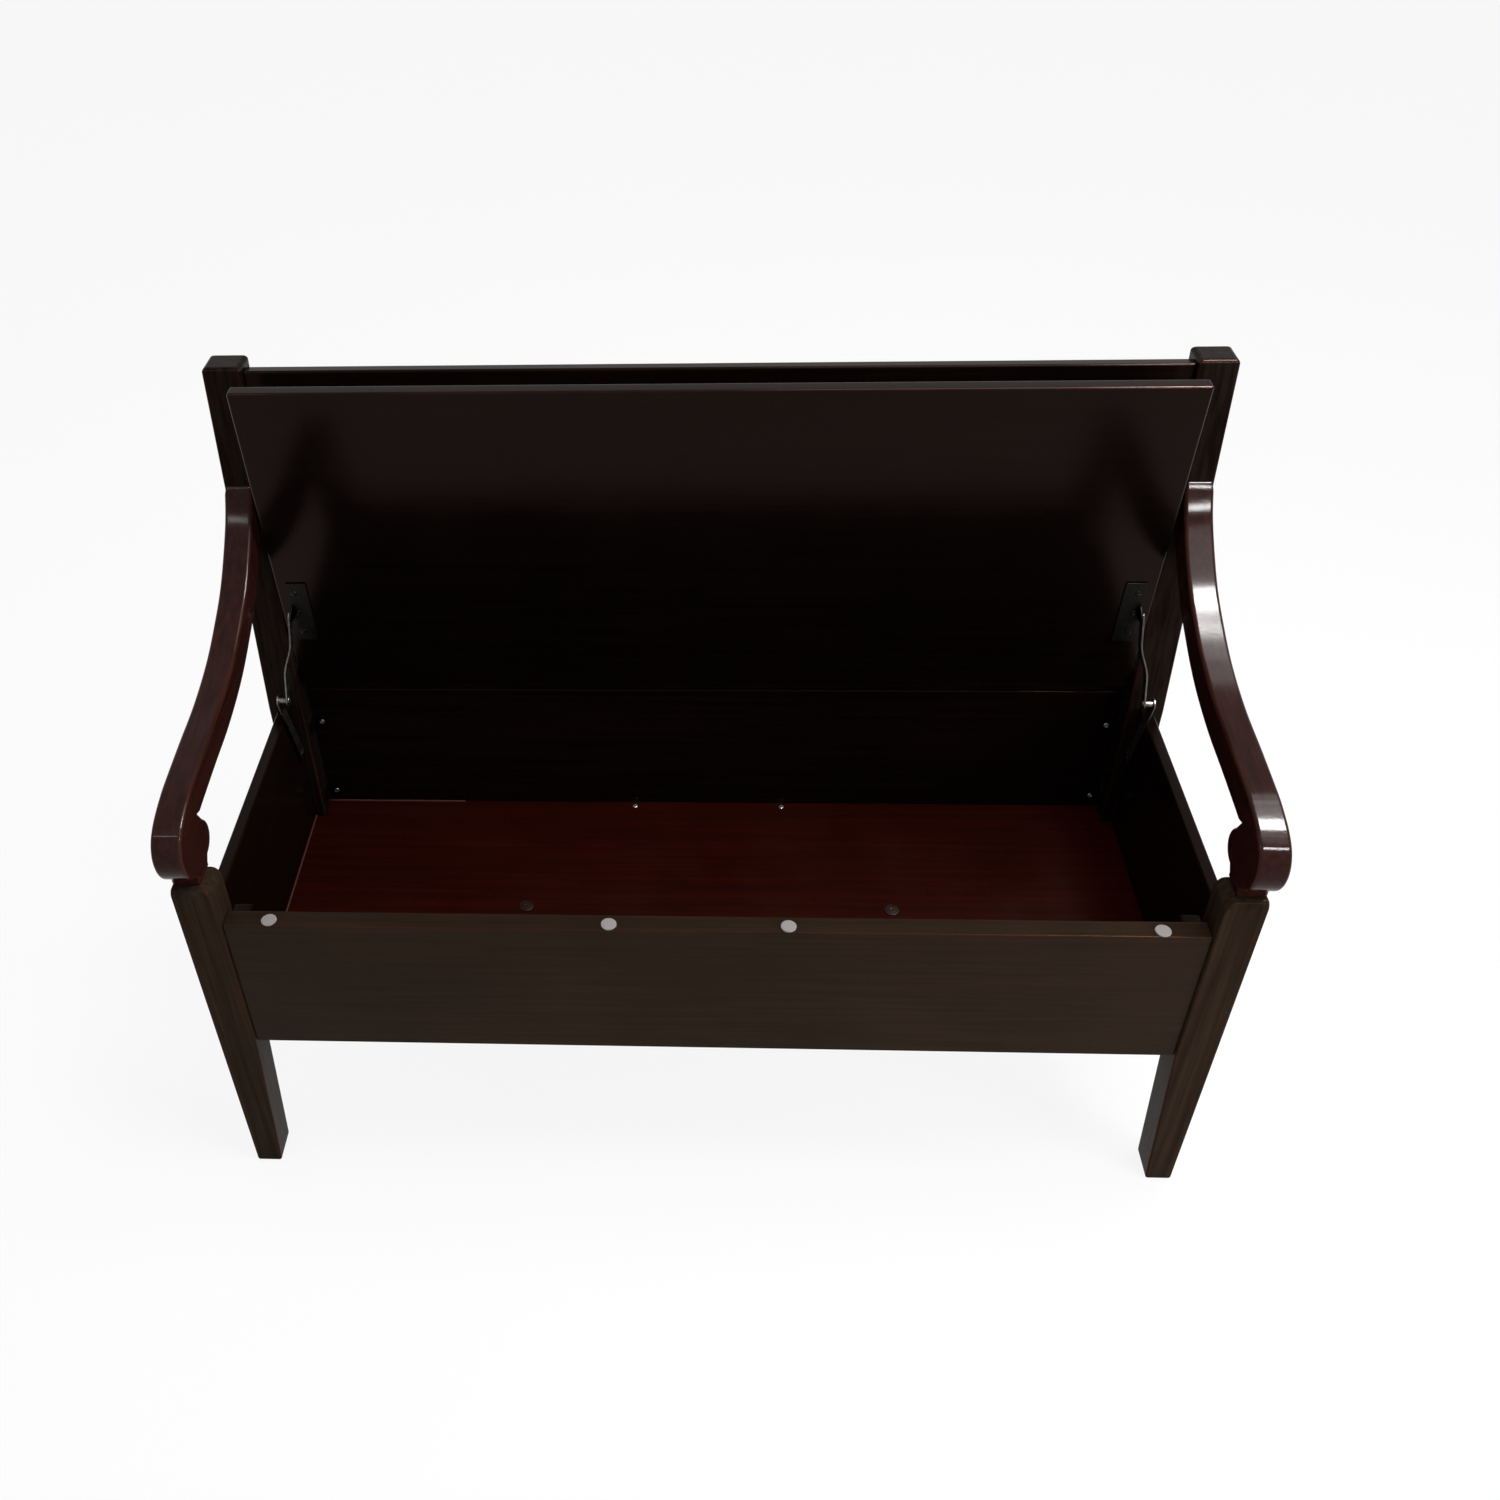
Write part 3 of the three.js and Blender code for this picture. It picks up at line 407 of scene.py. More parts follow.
def flat_link(start, end, outer_x, width, thickness, ease, jog=0.0, steps=28):
    """Flat bar with round ends between two places in y and z, stepped inwards along x by a jog.

    Its half width at a distance past an end's centre is the root of half width² - distance². The step follows a
    smooth step in the middle of the way. Its section is a rectangle with rounded edges.
    """
    start, end = np.asarray(start, float), np.asarray(end, float)
    length_between = np.linalg.norm(end - start)
    forward = (end - start) / length_between
    across = np.array([forward[1], -forward[0]])
    half = width / 2
    cap = -half * np.cos(np.radians(np.linspace(4, 90, 12)))
    along = np.concatenate([cap, np.linspace(0, length_between, steps)[1:-1], length_between - cap[::-1]])
    past = np.maximum(np.maximum(-along, along - length_between), 0)
    half_width = np.sqrt(np.maximum(half**2 - past**2, 0))
    jog_start, jog_share = 0.3, 0.4
    outer = outer_x - jog * smooth_step(np.clip((along / length_between - jog_start) / jog_share, 0, 1))
    corner = np.minimum(ease, half_width * 0.9)
    x, side, _ = section_ring(outer - thickness, outer, -half_width, half_width, corner, 3)
    y = start[0] + along[:, None] * forward[0] + side * across[0]
    z = start[1] + along[:, None] * forward[1] + side * across[1]
    return tube_with_ends(np.stack([x, y, z], -1), 0)


def rounded_outline(low_u, low_v, high_u, high_v, radius, steps=5):
    """Corners of a rectangle as quarter circles, anticlockwise."""
    left, right, bottom, top = low_u + radius, high_u - radius, low_v + radius, high_v - radius
    centres = ([right, top], [left, top], [left, bottom], [right, bottom])
    return np.concatenate([arc(centre, radius, 90 * i, 90 * i + 90, steps) for i, centre in enumerate(centres)])


def smooth_line(knots, per_span):
    """Curve through knots: on each span a cubic whose slope at a knot is half the step between its neighbours."""
    knots = np.asarray(knots, float)
    before = np.concatenate([knots[:1], knots[:-2]])
    start, end = knots[:-1], knots[1:]
    after = np.concatenate([knots[2:], knots[-1:]])
    slope_start, slope_end = (end - before) / 2, (after - start) / 2
    t = np.linspace(0, 1, per_span, endpoint=False)[None, :, None]
    start, end, slope_start, slope_end = (v[:, None, :] for v in (start, end, slope_start, slope_end))
    cubic = (2 * start - 2 * end + slope_start + slope_end) * t**3
    square = (3 * end - 3 * start - 2 * slope_start - slope_end) * t**2
    return np.concatenate([(cubic + square + slope_start * t + start).reshape(-1, 2), knots[-1:]])


def turned_about_x(points, pivot_y, pivot_z, angle):
    """Points turned about a line along x: y and z are mixed by the angle's cosine and sine, right-handed."""
    y, z = points[:, 1] - pivot_y, points[:, 2] - pivot_z
    cos, sin = np.cos(angle), np.sin(angle)
    return np.stack([points[:, 0], pivot_y + y * cos - z * sin, pivot_z + y * sin + z * cos], 1)


def swung(parts, pivot, angle):
    """Closed shells turned about a line along x through a pivot in y and z."""
    return [(turned_about_x(points, *pivot, angle), faces, edge) for points, faces, edge in parts]


# ---------------------------------------------------------------- from arrays to finished objects


# Vertices nearer to each other than this become one, and edges bent by more than this stay sharp
SAME_PLACE = 1e-7
SHARP_FROM = np.radians(35)


def add_object(name, parts, body, replaces, material):
    """One object from closed shells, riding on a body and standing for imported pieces."""
    points, faces, edges, start = [], [], [], 0
    for part_points, part_faces, part_edge in parts:
        points.append(part_points)
        edges.append(part_edge)
        faces += [[corner + start for corner in face] for face in part_faces]
        start += len(part_points)
    mesh = bpy.data.meshes.new(name)
    mesh.from_pydata(np.concatenate(points).tolist(), [], faces)
    rubbed = mesh.attributes.new("rubbed", "FLOAT", "POINT")
    rubbed.data.foreach_set("value", np.concatenate(edges).astype(np.float32))
    work = bmesh.new()
    work.from_mesh(mesh)
    bmesh.ops.remove_doubles(work, verts=work.verts, dist=SAME_PLACE)
    work.to_mesh(mesh)
    work.free()
    mesh.polygons.foreach_set("use_smooth", np.ones(len(mesh.polygons), bool))
    mesh.set_sharp_from_angle(angle=SHARP_FROM)
    mesh.materials.append(MATERIALS[material])
    piece = bpy.data.objects.new(name, mesh)
    bpy.context.scene.collection.objects.link(piece)
    even = piece.modifiers.new("Even shading", "WEIGHTED_NORMAL")
    even.keep_sharp = True
    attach(piece, body)
    if replaces:
        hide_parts(*replaces)


def mirrored(part):
    """The same shell on the bench's other side: x changes sign and each face runs the other way round."""
    points, faces, edge = part
    return points * np.array([-1, 1, 1]), [face[::-1] for face in faces], edge


def add_dressed(node, parts, body, material):
    """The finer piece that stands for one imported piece."""
    add_object(f"{node}_dressed", parts, body, [node], material)


def add_pair(name, parts, body, material):
    """A piece of the right side and its mirror image on the left. SIDE in the body's name stands for the side."""
    add_dressed(f"{name}_right", parts, body.replace("SIDE", "right"), material)
    flipped = [mirrored(part) for part in parts]
    add_dressed(f"{name}_left", flipped, body.replace("SIDE", "left"), material)


# ---------------------------------------------------------------- materials


def add_node(tree, kind, settings=None, links=None):
    """Adds a node, sets its properties and sockets by name, and links sockets to other nodes' outputs."""
    node = tree.nodes.new(kind)
    for key, value in (settings or {}).items():
        if isinstance(key, str) and hasattr(node, key):
            setattr(node, key, value)
        else:
            node.inputs[key].default_value = value
    for key, (source, output) in (links or {}).items():
        tree.links.new(source.outputs[output], node.inputs[key])
    return node


def new_material(name):
    """Empty material and its node tree."""
    material = bpy.data.materials.new(name)
    material.use_nodes = True
    material.node_tree.nodes.clear()
    return material, material.node_tree


def close_material(material, tree, surface):
    """Links the surface to the output and files the material under its name."""
    add_node(tree, "ShaderNodeOutputMaterial", links={"Surface": surface})
    MATERIALS[material.name] = material


def object_place(tree):
    """Where a point lies on its piece, in metres. Like the functions below, it returns the node and its output's name,
    as add_node's links take them."""
    return add_node(tree, "ShaderNodeTexCoord"), "Object"


def stretched(tree, place, scale):
    """The place multiplied by a scale of its own along each axis."""
    return add_node(tree, "ShaderNodeMapping", {"Scale": scale}, {"Vector": place}), "Vector"


def noise(tree, place, scale, detail, roughness=0.5, **more):
    """Cloudy noise from 0 to 1 with about scale clouds to the metre."""
    settings = {"Scale": scale, "Detail": detail, "Roughness": roughness, **more}
    return add_node(tree, "ShaderNodeTexNoise", settings, {"Vector": place}), "Fac"


def spread(tree, source, low, high, to_low=0.0, to_high=1.0):
    """The source's values from low to high spread over another range and held at its ends."""
    settings = {"From Min": low, "From Max": high, "To Min": to_low, "To Max": to_high}
    return add_node(tree, "ShaderNodeMapRange", settings, {"Value": source}), "Result"


def scaled(tree, tint, share):
    """A colour made darker or lighter by a share."""
    return add_node(tree, "ShaderNodeVectorMath", {"operation": "SCALE", 0: tint}, {"Scale": share}), "Vector"


def bump(tree, source, strength, distance, under=None):
    """Bumps up to a distance in metres high, laid over other bumps if there are any."""
    links = {"Height": source, "Normal": under} if under else {"Height": source}
    return add_node(tree, "ShaderNodeBump", {"Strength": strength, "Distance": distance}, links), "Normal"


def finished(material, tree, settings, links):
    """Gives a material its surface."""
    surface = add_node(tree, "ShaderNodeBsdfPrincipled", settings, links)
    close_material(material, tree, (surface, "BSDF"))


def lacquered_wood(name, grain, stain, streak, painted_reflection_tone, rubbed_edge, roughness, specular):
    """Stained rubberwood under sprayed lacquer: an even dark colour with long faint streaks, short pores,
    a slightly wavy gloss and thinner stain along the rounded edges. painted_reflection_tone tints what the lacquer
    mirrors; a warm tint paints the reflection of a warm room into the gloss."""
    material, tree = new_material(name)
    place = object_place(tree)
    # Streaks are about 6 mm wide and 250 mm long, pores about 0.9 mm by 12 mm, drawn wider than real ones to show
    streak_scale, pore_scale = [1 / 0.006] * 3, [1 / 0.0009] * 3
    along = "xyz".index(grain)
    streak_scale[along], pore_scale[along] = 1 / 0.25, 1 / 0.012
    streaks = noise(tree, stretched(tree, place, streak_scale), 1.0, 5.0, 0.6)
    pores = noise(tree, stretched(tree, place, pore_scale), 1.0, 2.0)
    # Broad patches, about 140 mm across, vary the tone, the gloss and how far the edges are rubbed
    broad = noise(tree, place, 7.0, 3.0, 0.55)
    stained = add_node(
        tree, "ShaderNodeMix", {"data_type": "RGBA", 6: (*stain, 1), 7: (*streak, 1)},
        {0: spread(tree, streaks, 0.38, 0.66)},
    )
    toned = add_node(
        tree, "ShaderNodeVectorMath", {"operation": "SCALE"},
        {0: (stained, 2), "Scale": spread(tree, broad, 0.3, 0.7, 0.9, 1.1)},
    )
    edge = add_node(tree, "ShaderNodeAttribute", {"attribute_name": "rubbed"})
    rub_share = add_node(
        tree, "ShaderNodeMath", {"operation": "MULTIPLY", "use_clamp": True},
        {0: (edge, "Fac"), 1: spread(tree, broad, 0.42, 0.62, 0.15, 0.8)},
    )
    base = add_node(
        tree, "ShaderNodeMix", {"data_type": "RGBA", 7: (*rubbed_edge, 1)},
        {0: (rub_share, "Value"), 6: (toned, "Vector")},
    )
    # Orange peel of the sprayed lacquer, about 4 mm from crest to crest, over the pores
    peel = noise(tree, place, 250.0, 1.0, 0.4)
    waves = bump(tree, peel, 0.06, 0.0004, bump(tree, pores, 0.12, 0.0003))
    gloss = spread(tree, broad, 0.35, 0.65, roughness * 0.85, roughness * 1.2)
    # Where the specular tint is amber or rose, it paints the reflection of a warm room into the gloss
    finished(
        material, tree,
        {"IOR": 1.5, "Specular IOR Level": specular, "Specular Tint": (*painted_reflection_tone, 1), "Metallic": 0.0},
        {"Base Color": (base, 2), "Roughness": gloss, "Normal": waves},
    )


def plated_metal(name, tint, roughness):
    """Zinc-plated or bronzed steel sheet: satin metal with faint cloudy plating and fine scratches."""
    material, tree = new_material(name)
    place = object_place(tree)
    # Clouds about 8 mm across, scratches about 0.4 mm apart
    clouds = noise(tree, place, 120.0, 4.0, 0.6)
    scratches = noise(tree, stretched(tree, place, (300, 300, 2500)), 1.0, 2.0)
    base = scaled(tree, tint, spread(tree, clouds, 0.3, 0.7, 0.75, 1.2))
    rough = spread(tree, clouds, 0.3, 0.7, roughness * 0.8, roughness * 1.3)
    links = {"Base Color": base, "Roughness": rough, "Normal": bump(tree, scratches, 0.08, 0.0001)}
    finished(material, tree, {"Metallic": 1.0}, links)


def moulded_plastic(name, tint):
    """Moulded polypropylene, also the pale bead whose colour paints a highlight beside the floor: half matt, with a
    fine grain of about 0.5 mm.
    """
    material, tree = new_material(name)
    grain = noise(tree, object_place(tree), 2000.0, 2.0)
    base = scaled(tree, tint, spread(tree, grain, 0.0, 1.0, 0.8, 1.2))
    links = {"Base Color": base, "Normal": bump(tree, grain, 0.15, 0.0001)}
    finished(material, tree, {"Roughness": 0.42, "Specular IOR Level": 0.12}, links)


def pressed_felt(name, tint):
    """Pressed wool felt: matt, with fibres about 0.3 mm thick lying every way, drawn as coarse as 0.8 mm to show."""
    material, tree = new_material(name)
    fibres = noise(tree, object_place(tree), 1250.0, 4.0, 0.7, Distortion=1.5)
    base = scaled(tree, tint, spread(tree, fibres, 0.3, 0.7, 0.75, 1.1))
    links = {"Base Color": base, "Normal": bump(tree, fibres, 0.5, 0.0003)}
    finished(material, tree, {"Roughness": 0.95, "Sheen Weight": 0.3, "Sheen Roughness": 0.5}, links)


class BenchMaterials(bpy.types.Operator):
    """Makes the finishes of the wood, metal, plastic, the pale bead that paints a highlight, and felt."""

    bl_idname = "bench.make_finishes"
    bl_label = "Finishes"

    def execute(self, context):
        finish = context.scene.bench_finish
        amber, rose, clear = finish.amber_painted_reflection, finish.rose_painted_reflection, finish.lacquer_clear
        rubbed, thin = finish.rubbed_edge, finish.board_edge
        # Each part's grain axis, stain, streaks, tint of its gloss (amber and rose paint the reflection of a warm
        # room), edges, roughness and specular level
        looks = {
            "leg": ("z", finish.leg_stain, finish.leg_streak, amber, rubbed, 0.14, 0.005),
            "post": ("z", finish.post_stain, finish.board_streak, rose, rubbed, 0.2, 0.03),
            "apron": ("x", finish.apron_stain, finish.leg_streak, amber, rubbed, 0.2, 0.03),
            "arm": ("y", finish.arm_stain, finish.arm_streak, clear, rubbed, 0.12, 0.075),
            "lid": ("x", finish.lid_stain, finish.lid_streak, rose, thin, 0.16, 0.11),
            "floor": ("x", finish.floor_stain, finish.floor_streak, clear, thin, 0.3, 0.05),
        }
        for grain in "xyz":
            looks[f"board_{grain}"] = (grain, finish.board_stain, finish.board_streak, rose, thin, 0.18, 0.05)
        for part, look in looks.items():
            lacquered_wood(WOOD + part, *look)
        plated_metal("bronzed_steel", finish.bronze, 0.38)
        plated_metal("blackened_zinc_steel", finish.dark_zinc, 0.36)
        plated_metal("grey_zinc_steel", finish.link_zinc, 0.3)
        plated_metal("bright_zinc_steel", finish.bright_zinc, 0.3)
        moulded_plastic("brown_polypropylene", finish.cap_brown)
        # The pale bead's colour paints the highlight along the floor's joints
        moulded_plastic("dried_glue", finish.highlight_bead_tone)
        pressed_felt("white_wool_felt", finish.felt_white)
        return {"FINISHED"}


# ---------------------------------------------------------------- the bench's pieces


def tapered_side(sizes, inner, outer, z):
    """Where a leg's inner side is at a height: it moves in evenly from the foot to the top of the taper."""
    foot_inner = outer - sizes.foot_width
    return foot_inner + (inner - foot_inner) * np.clip(z / sizes.leg_taper_height, 0, 1)


class BenchFrontLegs(bpy.types.Operator):
    """Makes the front legs, each with a tapered foot and a top rounded over on three sides."""

    bl_idname = "bench.make_front_legs"
    bl_label = "Front legs"

    def execute(self, context):
        sizes = context.scene.bench_frame
        inner, front = LEG_LOW[:2]
        outer, back, top = LEG_HIGH

        # Levels of the foot's rim, the taper, the straight part and the rounded top
        rim, rim_inset = rim_rounding(sizes.foot_round, 4)
        rounds = (sizes.leg_inner_round, sizes.leg_front_round, sizes.leg_back_round, sizes.leg_ease)
        top_levels = np.concatenate([top - radius * (1 - np.sin(quarter(8))) for radius in rounds])
        top_levels = np.unique(np.round(top_levels, 5))
        z = np.concatenate([rim, [0.06, 0.12, 0.18, sizes.leg_taper_height, 0.3, 0.4, 0.48], top_levels])
        drawn_in = np.zeros_like(z)
        drawn_in[: len(rim)] = rim_inset

        def rounded_over(radius):
            """How far a quarter circle at the top draws a side in: radius less the root of radius² - height²."""
            return radius - np.sqrt(radius**2 - np.clip(z - (top - radius), 0, radius) ** 2)

        x, y, rubbed = section_ring(
            tapered_side(sizes, inner, outer, z) + rounded_over(sizes.leg_inner_round) + drawn_in,
            outer - rounded_over(sizes.leg_ease) - drawn_in,
            front + rounded_over(sizes.leg_front_round) + drawn_in,
            back - rounded_over(sizes.leg_back_round) - drawn_in,
            np.full_like(z, sizes.leg_ease),
        )
        add_pair("front_leg", [tube_with_ends(stacked(x, y, z), rubbed)], "frame", WOOD + "leg")
        return {"FINISHED"}


def post_front_at(sizes, z):
    """Where a back post's front face is at a height: straight up to the bend, then leaning back evenly."""
    front = POST_LOW[1]
    setback = POST_HIGH[1] - sizes.post_top_depth - front
    return front + setback * np.clip((z - sizes.post_bend) / (POST_HIGH[2] - sizes.post_bend), 0, None)


class BenchBackPosts(bpy.types.Operator):
    """Makes the back posts, upright to the bend and leaning above it, with tapered feet."""

    bl_idname = "bench.make_back_posts"
    bl_label = "Back posts"

    def execute(self, context):
        sizes = context.scene.bench_frame
        inner, outer, top = POST_LOW[0], POST_HIGH[0], POST_HIGH[2]
        bend, half_bend = sizes.post_bend, 0.002

        # Levels of the foot's rim, the taper, both sides of the bend, the leaning part and the top's rim
        rim, rim_inset = rim_rounding(sizes.foot_round, 5)
        crown, crown_inset = rim_rounding(sizes.post_top_round, 5)
        between = [0.06, 0.12, 0.18, sizes.leg_taper_height, 0.35, bend - half_bend, bend + half_bend, 0.6, 0.75]
        z = np.concatenate([rim, between, top - crown[::-1]])
        drawn_in = np.concatenate([rim_inset, np.zeros(len(between)), crown_inset[::-1]])

        low_back = POST_LOW[1] + sizes.post_low_depth
        high_y = low_back + (POST_HIGH[1] - low_back) * np.clip((z - bend) / (top - bend), 0, None)
        x, y, rubbed = section_ring(
            tapered_side(sizes, inner, outer, z) + drawn_in, outer - drawn_in,
            post_front_at(sizes, z) + drawn_in, high_y - drawn_in, np.full_like(z, sizes.post_ease),
        )
        add_pair("back_post", [tube_with_ends(stacked(x, y, z), rubbed)], "frame", WOOD + "post")
        return {"FINISHED"}


class BenchArms(bpy.types.Operator):
    """Makes the arms, each a board sawn to a long curve that ends in a round scroll, a neck and a curl."""

    bl_idname = "bench.make_arms"
    bl_label = "Arms"

    def execute(self, context):
        sizes = context.scene.bench_frame
        front = LEG_LOW[1]
        leg_top = ARM_LOW[2] - FIT_GAP
        reach = post_front_at(sizes, leg_top + sizes.arm_rise) - front
        # Shares of the reach from the leg's front to the post, and of the arm's rise
        knots = np.array(
            [
                [1.03, 1.0885], [1, 1], [0.934, 0.8474], [0.803, 0.6663], [0.685, 0.5652],
                [0.569, 0.493], [0.43, 0.4459], [0.285, 0.4252], [0.145, 0.4019], [0.1, 0.3889],
                [0.067, 0.3756], [0.04, 0.3615], [0.018, 0.3456],
            ]
        ) * [reach, sizes.arm_rise]
        top = smooth_line(knots, 9)
        slope = np.gradient(top, axis=0)
        slope /= np.linalg.norm(slope, axis=1, keepdims=True)
        under = top + sizes.arm_depth * np.stack([-slope[:, 1], slope[:, 0]], 1)
        # Where the arm's underside meets the curl, and how far behind the leg's front the curl's centre stands
        throat, curl_setback = np.array([0.056, 0.0695]), 0.048
        under = under[under[:, 0] > throat[0] + sizes.arm_ease][::-1]

        def to_face(line, from_start):
            """Ends a line on the post's front face, and drops its points close to that corner."""
            face = post_front_at(sizes, leg_top + line[:, 1]) - front - FIT_GAP
            ahead = face - line[:, 0]
            inside = ahead > 0
            last = np.flatnonzero(inside)[0 if from_start else -1]
            other = last - 1 if from_start else last + 1
            share = ahead[last] / (ahead[last] - ahead[other])
            corner = line[last] + share * (line[other] - line[last])
            kept = line[inside & (np.linalg.norm(line - corner, axis=1) > 2 * sizes.arm_ease)]
            return np.concatenate([[corner], kept] if from_start else [kept, [corner]])

        scroll_centre = np.array([sizes.scroll_radius - sizes.scroll_overhang, sizes.scroll_rise])
        curl_centre = np.array([curl_setback, sizes.curl_rise])
        depth = LEG_HIGH[1] - front
        outline = np.concatenate(
            [
                to_face(top, True),
                arc(scroll_centre, sizes.scroll_radius, 126, 180, 20),
                arc(scroll_centre, [sizes.scroll_radius, sizes.scroll_drop], 180, 246, 24)[1:],
                [
                    [sizes.neck_front, FIT_GAP + sizes.neck_front_rise],
                    [sizes.neck_front, FIT_GAP],
                    [depth, FIT_GAP],
                    [depth, FIT_GAP + sizes.neck_back_rise],
                ],
                arc(curl_centre, sizes.curl_radius, 275, 410, 30),
                [throat],
                to_face(under, False),
            ]
        )
        outline += [front, leg_top]
        # The arm ends at the post in a thin edge. A small flat blunts it, this far down the face and along the top.
        steps_away = (0.003, 0.005)
        ways = (outline[-1] - outline[0], outline[1] - outline[0])
        blunt = [step * way / np.linalg.norm(way) for step, way in zip(steps_away, ways)]
        arm = eased_prism(outline, ARM_LOW[0], ARM_HIGH[0], sizes.arm_ease, "x", blunt=blunt)
        add_pair("arm", [arm], "frame", WOOD + "arm")
        return {"FINISHED"}


class BenchBackrest(bpy.types.Operator):
    """Makes the backrest's two rails and the plain panel in their grooves, leaning with the posts."""

    bl_idname = "bench.make_backrest"
    bl_label = "Backrest"

    def execute(self, context):
        sizes = context.scene.bench_boards
        posts = context.scene.bench_frame
        lean = np.arctan2(POST_HIGH[1] - posts.post_top_depth - POST_LOW[1], POST_HIGH[2] - posts.post_bend)
        pivot = (POST_LOW[1], posts.post_bend)
        reach = box_of("backrest_top_rail")[1][0]
        front = POST_LOW[1] + sizes.backrest_setback
        back = front + sizes.backrest_depth
        middle = (front + back) / 2
        half_panel = sizes.panel_thickness / 2
        groove_front, groove_back = middle - half_panel - FIT_GAP, middle + half_panel + FIT_GAP
        end_ease, panel_ease = 0.0006, 0.001

        def upright(node):
            """Lowest and highest place of a leaning piece once it is turned upright."""
            height = turned_about_x(points_of(node), *pivot, lean)[:, 2]
            return height.min(), height.max()

        def rail(node, groove_below):
            """Rail with a rounded edge away from the panel and a groove in the edge beside it."""
            low, high = upright(node)
            groove_edge, far_edge = (low, high) if groove_below else (high, low)
            way = 1 if groove_below else -1
            groove_end = groove_edge + way * sizes.panel_groove
            corner = quarter(10)
            inset = sizes.rail_round * (1 - np.cos(corner))
            height = far_edge - way * sizes.rail_round + way * sizes.rail_round * np.sin(corner)
            section = np.concatenate(
                [
                    [[front, groove_edge]],
                    np.stack([front + inset, height], 1),
                    np.stack([back - inset, height], 1)[::-1],
                    [
                        [back, groove_edge], [groove_back, groove_edge], [groove_back, groove_end],
                        [groove_front, groove_end], [groove_front, groove_edge],
                    ],
                ]
            )
            return eased_prism(section[::-1] if groove_below else section, -reach, reach, end_ease, "x", steps=2)

        for node, groove_below in (("backrest_top_rail", True), ("backrest_lower_rail", False)):
            leaning = swung([rail(node, groove_below)], pivot, -lean)
            add_dressed(node, leaning, "frame", WOOD + "board_x")
        low, high = upright("backrest_panel")
        panel = rounded_board([-reach, middle - half_panel, low], [reach, middle + half_panel, high], panel_ease)
        add_dressed("backrest_panel", swung([panel], pivot, -lean), "frame", WOOD + "board_x")
        return {"FINISHED"}


class BenchBox(bpy.types.Operator):
    """Makes the boards of the box, its corner blocks, its floor with a pale bead whose colour paints the highlight
    along its joints, and the battens under it.
    """

    bl_idname = "bench.make_box"
    bl_label = "Box"

    def execute(self, context):
        sizes = context.scene.bench_boards
        boards = {
            "front_apron": "apron",
            "side_panel_left": "board_y",
            "side_panel_right": "board_y",
            "box_back_panel": "board_x",
            "rear_seat_rail": "board_x",
            "corner_block_left": "board_z",
            "corner_block_right": "board_z",
            "floor_batten_middle": "board_x",
            "floor_batten_rear": "board_x",
        }
        for node, wood in boards.items():
            ease = sizes.board_ease / 2 if node == "rear_seat_rail" else sizes.board_ease
            add_dressed(node, [rounded_board(*box_of(node), ease)], "frame", WOOD + wood)

        # Floor: its outline steps in round the legs and posts
        low, high = box_of("floor_panel")
        between = box_of("front_apron")[1][0]
        notch_front, notch_back = LEG_HIGH[1] + FIT_GAP, POST_LOW[1] - FIT_GAP
        right = np.array(
            [
                [between, low[1]], [between, notch_front], [high[0], notch_front],
                [high[0], notch_back], [between, notch_back], [between, high[1]],
            ]
        )
        floor_ease = 0.0008
        floor = eased_prism(np.concatenate([right, right[::-1] * [-1, 1]]), low[2], high[2], floor_ease, "z", steps=2)

        # A pale bead, a quarter circle in section, along the floor's left end and the left end of its rear edge: its
        # colour paints the highlight along these joints
        rear_bead_end, bead_ease = -0.36, 0.0003
        side_high, back_low = box_of("side_panel_left")[1], box_of("box_back_panel")[0]
        beads = []
        for corner, start, low_end, high_end, axis in (
            ([high[2], side_high[0]], 0, LEG_HIGH[1], side_high[1], "y"),
            ([back_low[1], high[2]], 90, -between, rear_bead_end, "x"),
        ):
            section = np.concatenate([[corner], arc(corner, sizes.highlight_bead, start, start + 90, 5)])
            beads.append(eased_prism(section, low_end, high_end, bead_ease, axis, steps=1))
        add_object("floor_glue_bead", beads, "frame", [], "dried_glue")
        add_dressed("floor_panel", [floor], "frame", WOOD + "floor")
        return {"FINISHED"}


def closed_lid(opened):
    """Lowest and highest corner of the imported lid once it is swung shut."""
    shut = turned_about_x(points_of("lid"), *LID_HINGE[1:], opened)
    return shut.min(0), shut.max(0)


class BenchLid(bpy.types.Operator):
    """Makes the seat lid, modelled closed and swung open about its hinges."""

    bl_idname = "bench.make_lid"
    bl_label = "Seat lid"

    def execute(self, context):
        sizes = context.scene.bench_boards
        lid = rounded_board(*closed_lid(sizes.lid_open), sizes.lid_ease)
        add_dressed("lid", swung([lid], LID_HINGE[1:], -sizes.lid_open), "lid", WOOD + "lid")
        return {"FINISHED"}


def screw(node, axis, facing, sizes, shank):
    """Pan-headed screw in a packed one's place, with a cross recess in its head and a shank of a given radius."""
    low, high = box_of(node)
    along = "xyz".index(axis)
    place = (low + high) / 2
    place[along] = high[along] - SCREW_HEAD_HEIGHT if facing > 0 else low[along] + SCREW_HEAD_HEIGHT
    length_in = high[along] - low[along] - SCREW_HEAD_HEIGHT
    shaft = [[TIP, -length_in], [shank, -length_in + 2 * shank], [shank, 0]]
    profile = np.concatenate([shaft, domed_head(sizes.screw_head, SCREW_HEAD_HEIGHT)])
    return turned_piece(profile, place, axis, facing, cross=(sizes.cross_width, sizes.cross_reach, RECESS_DEPTH))


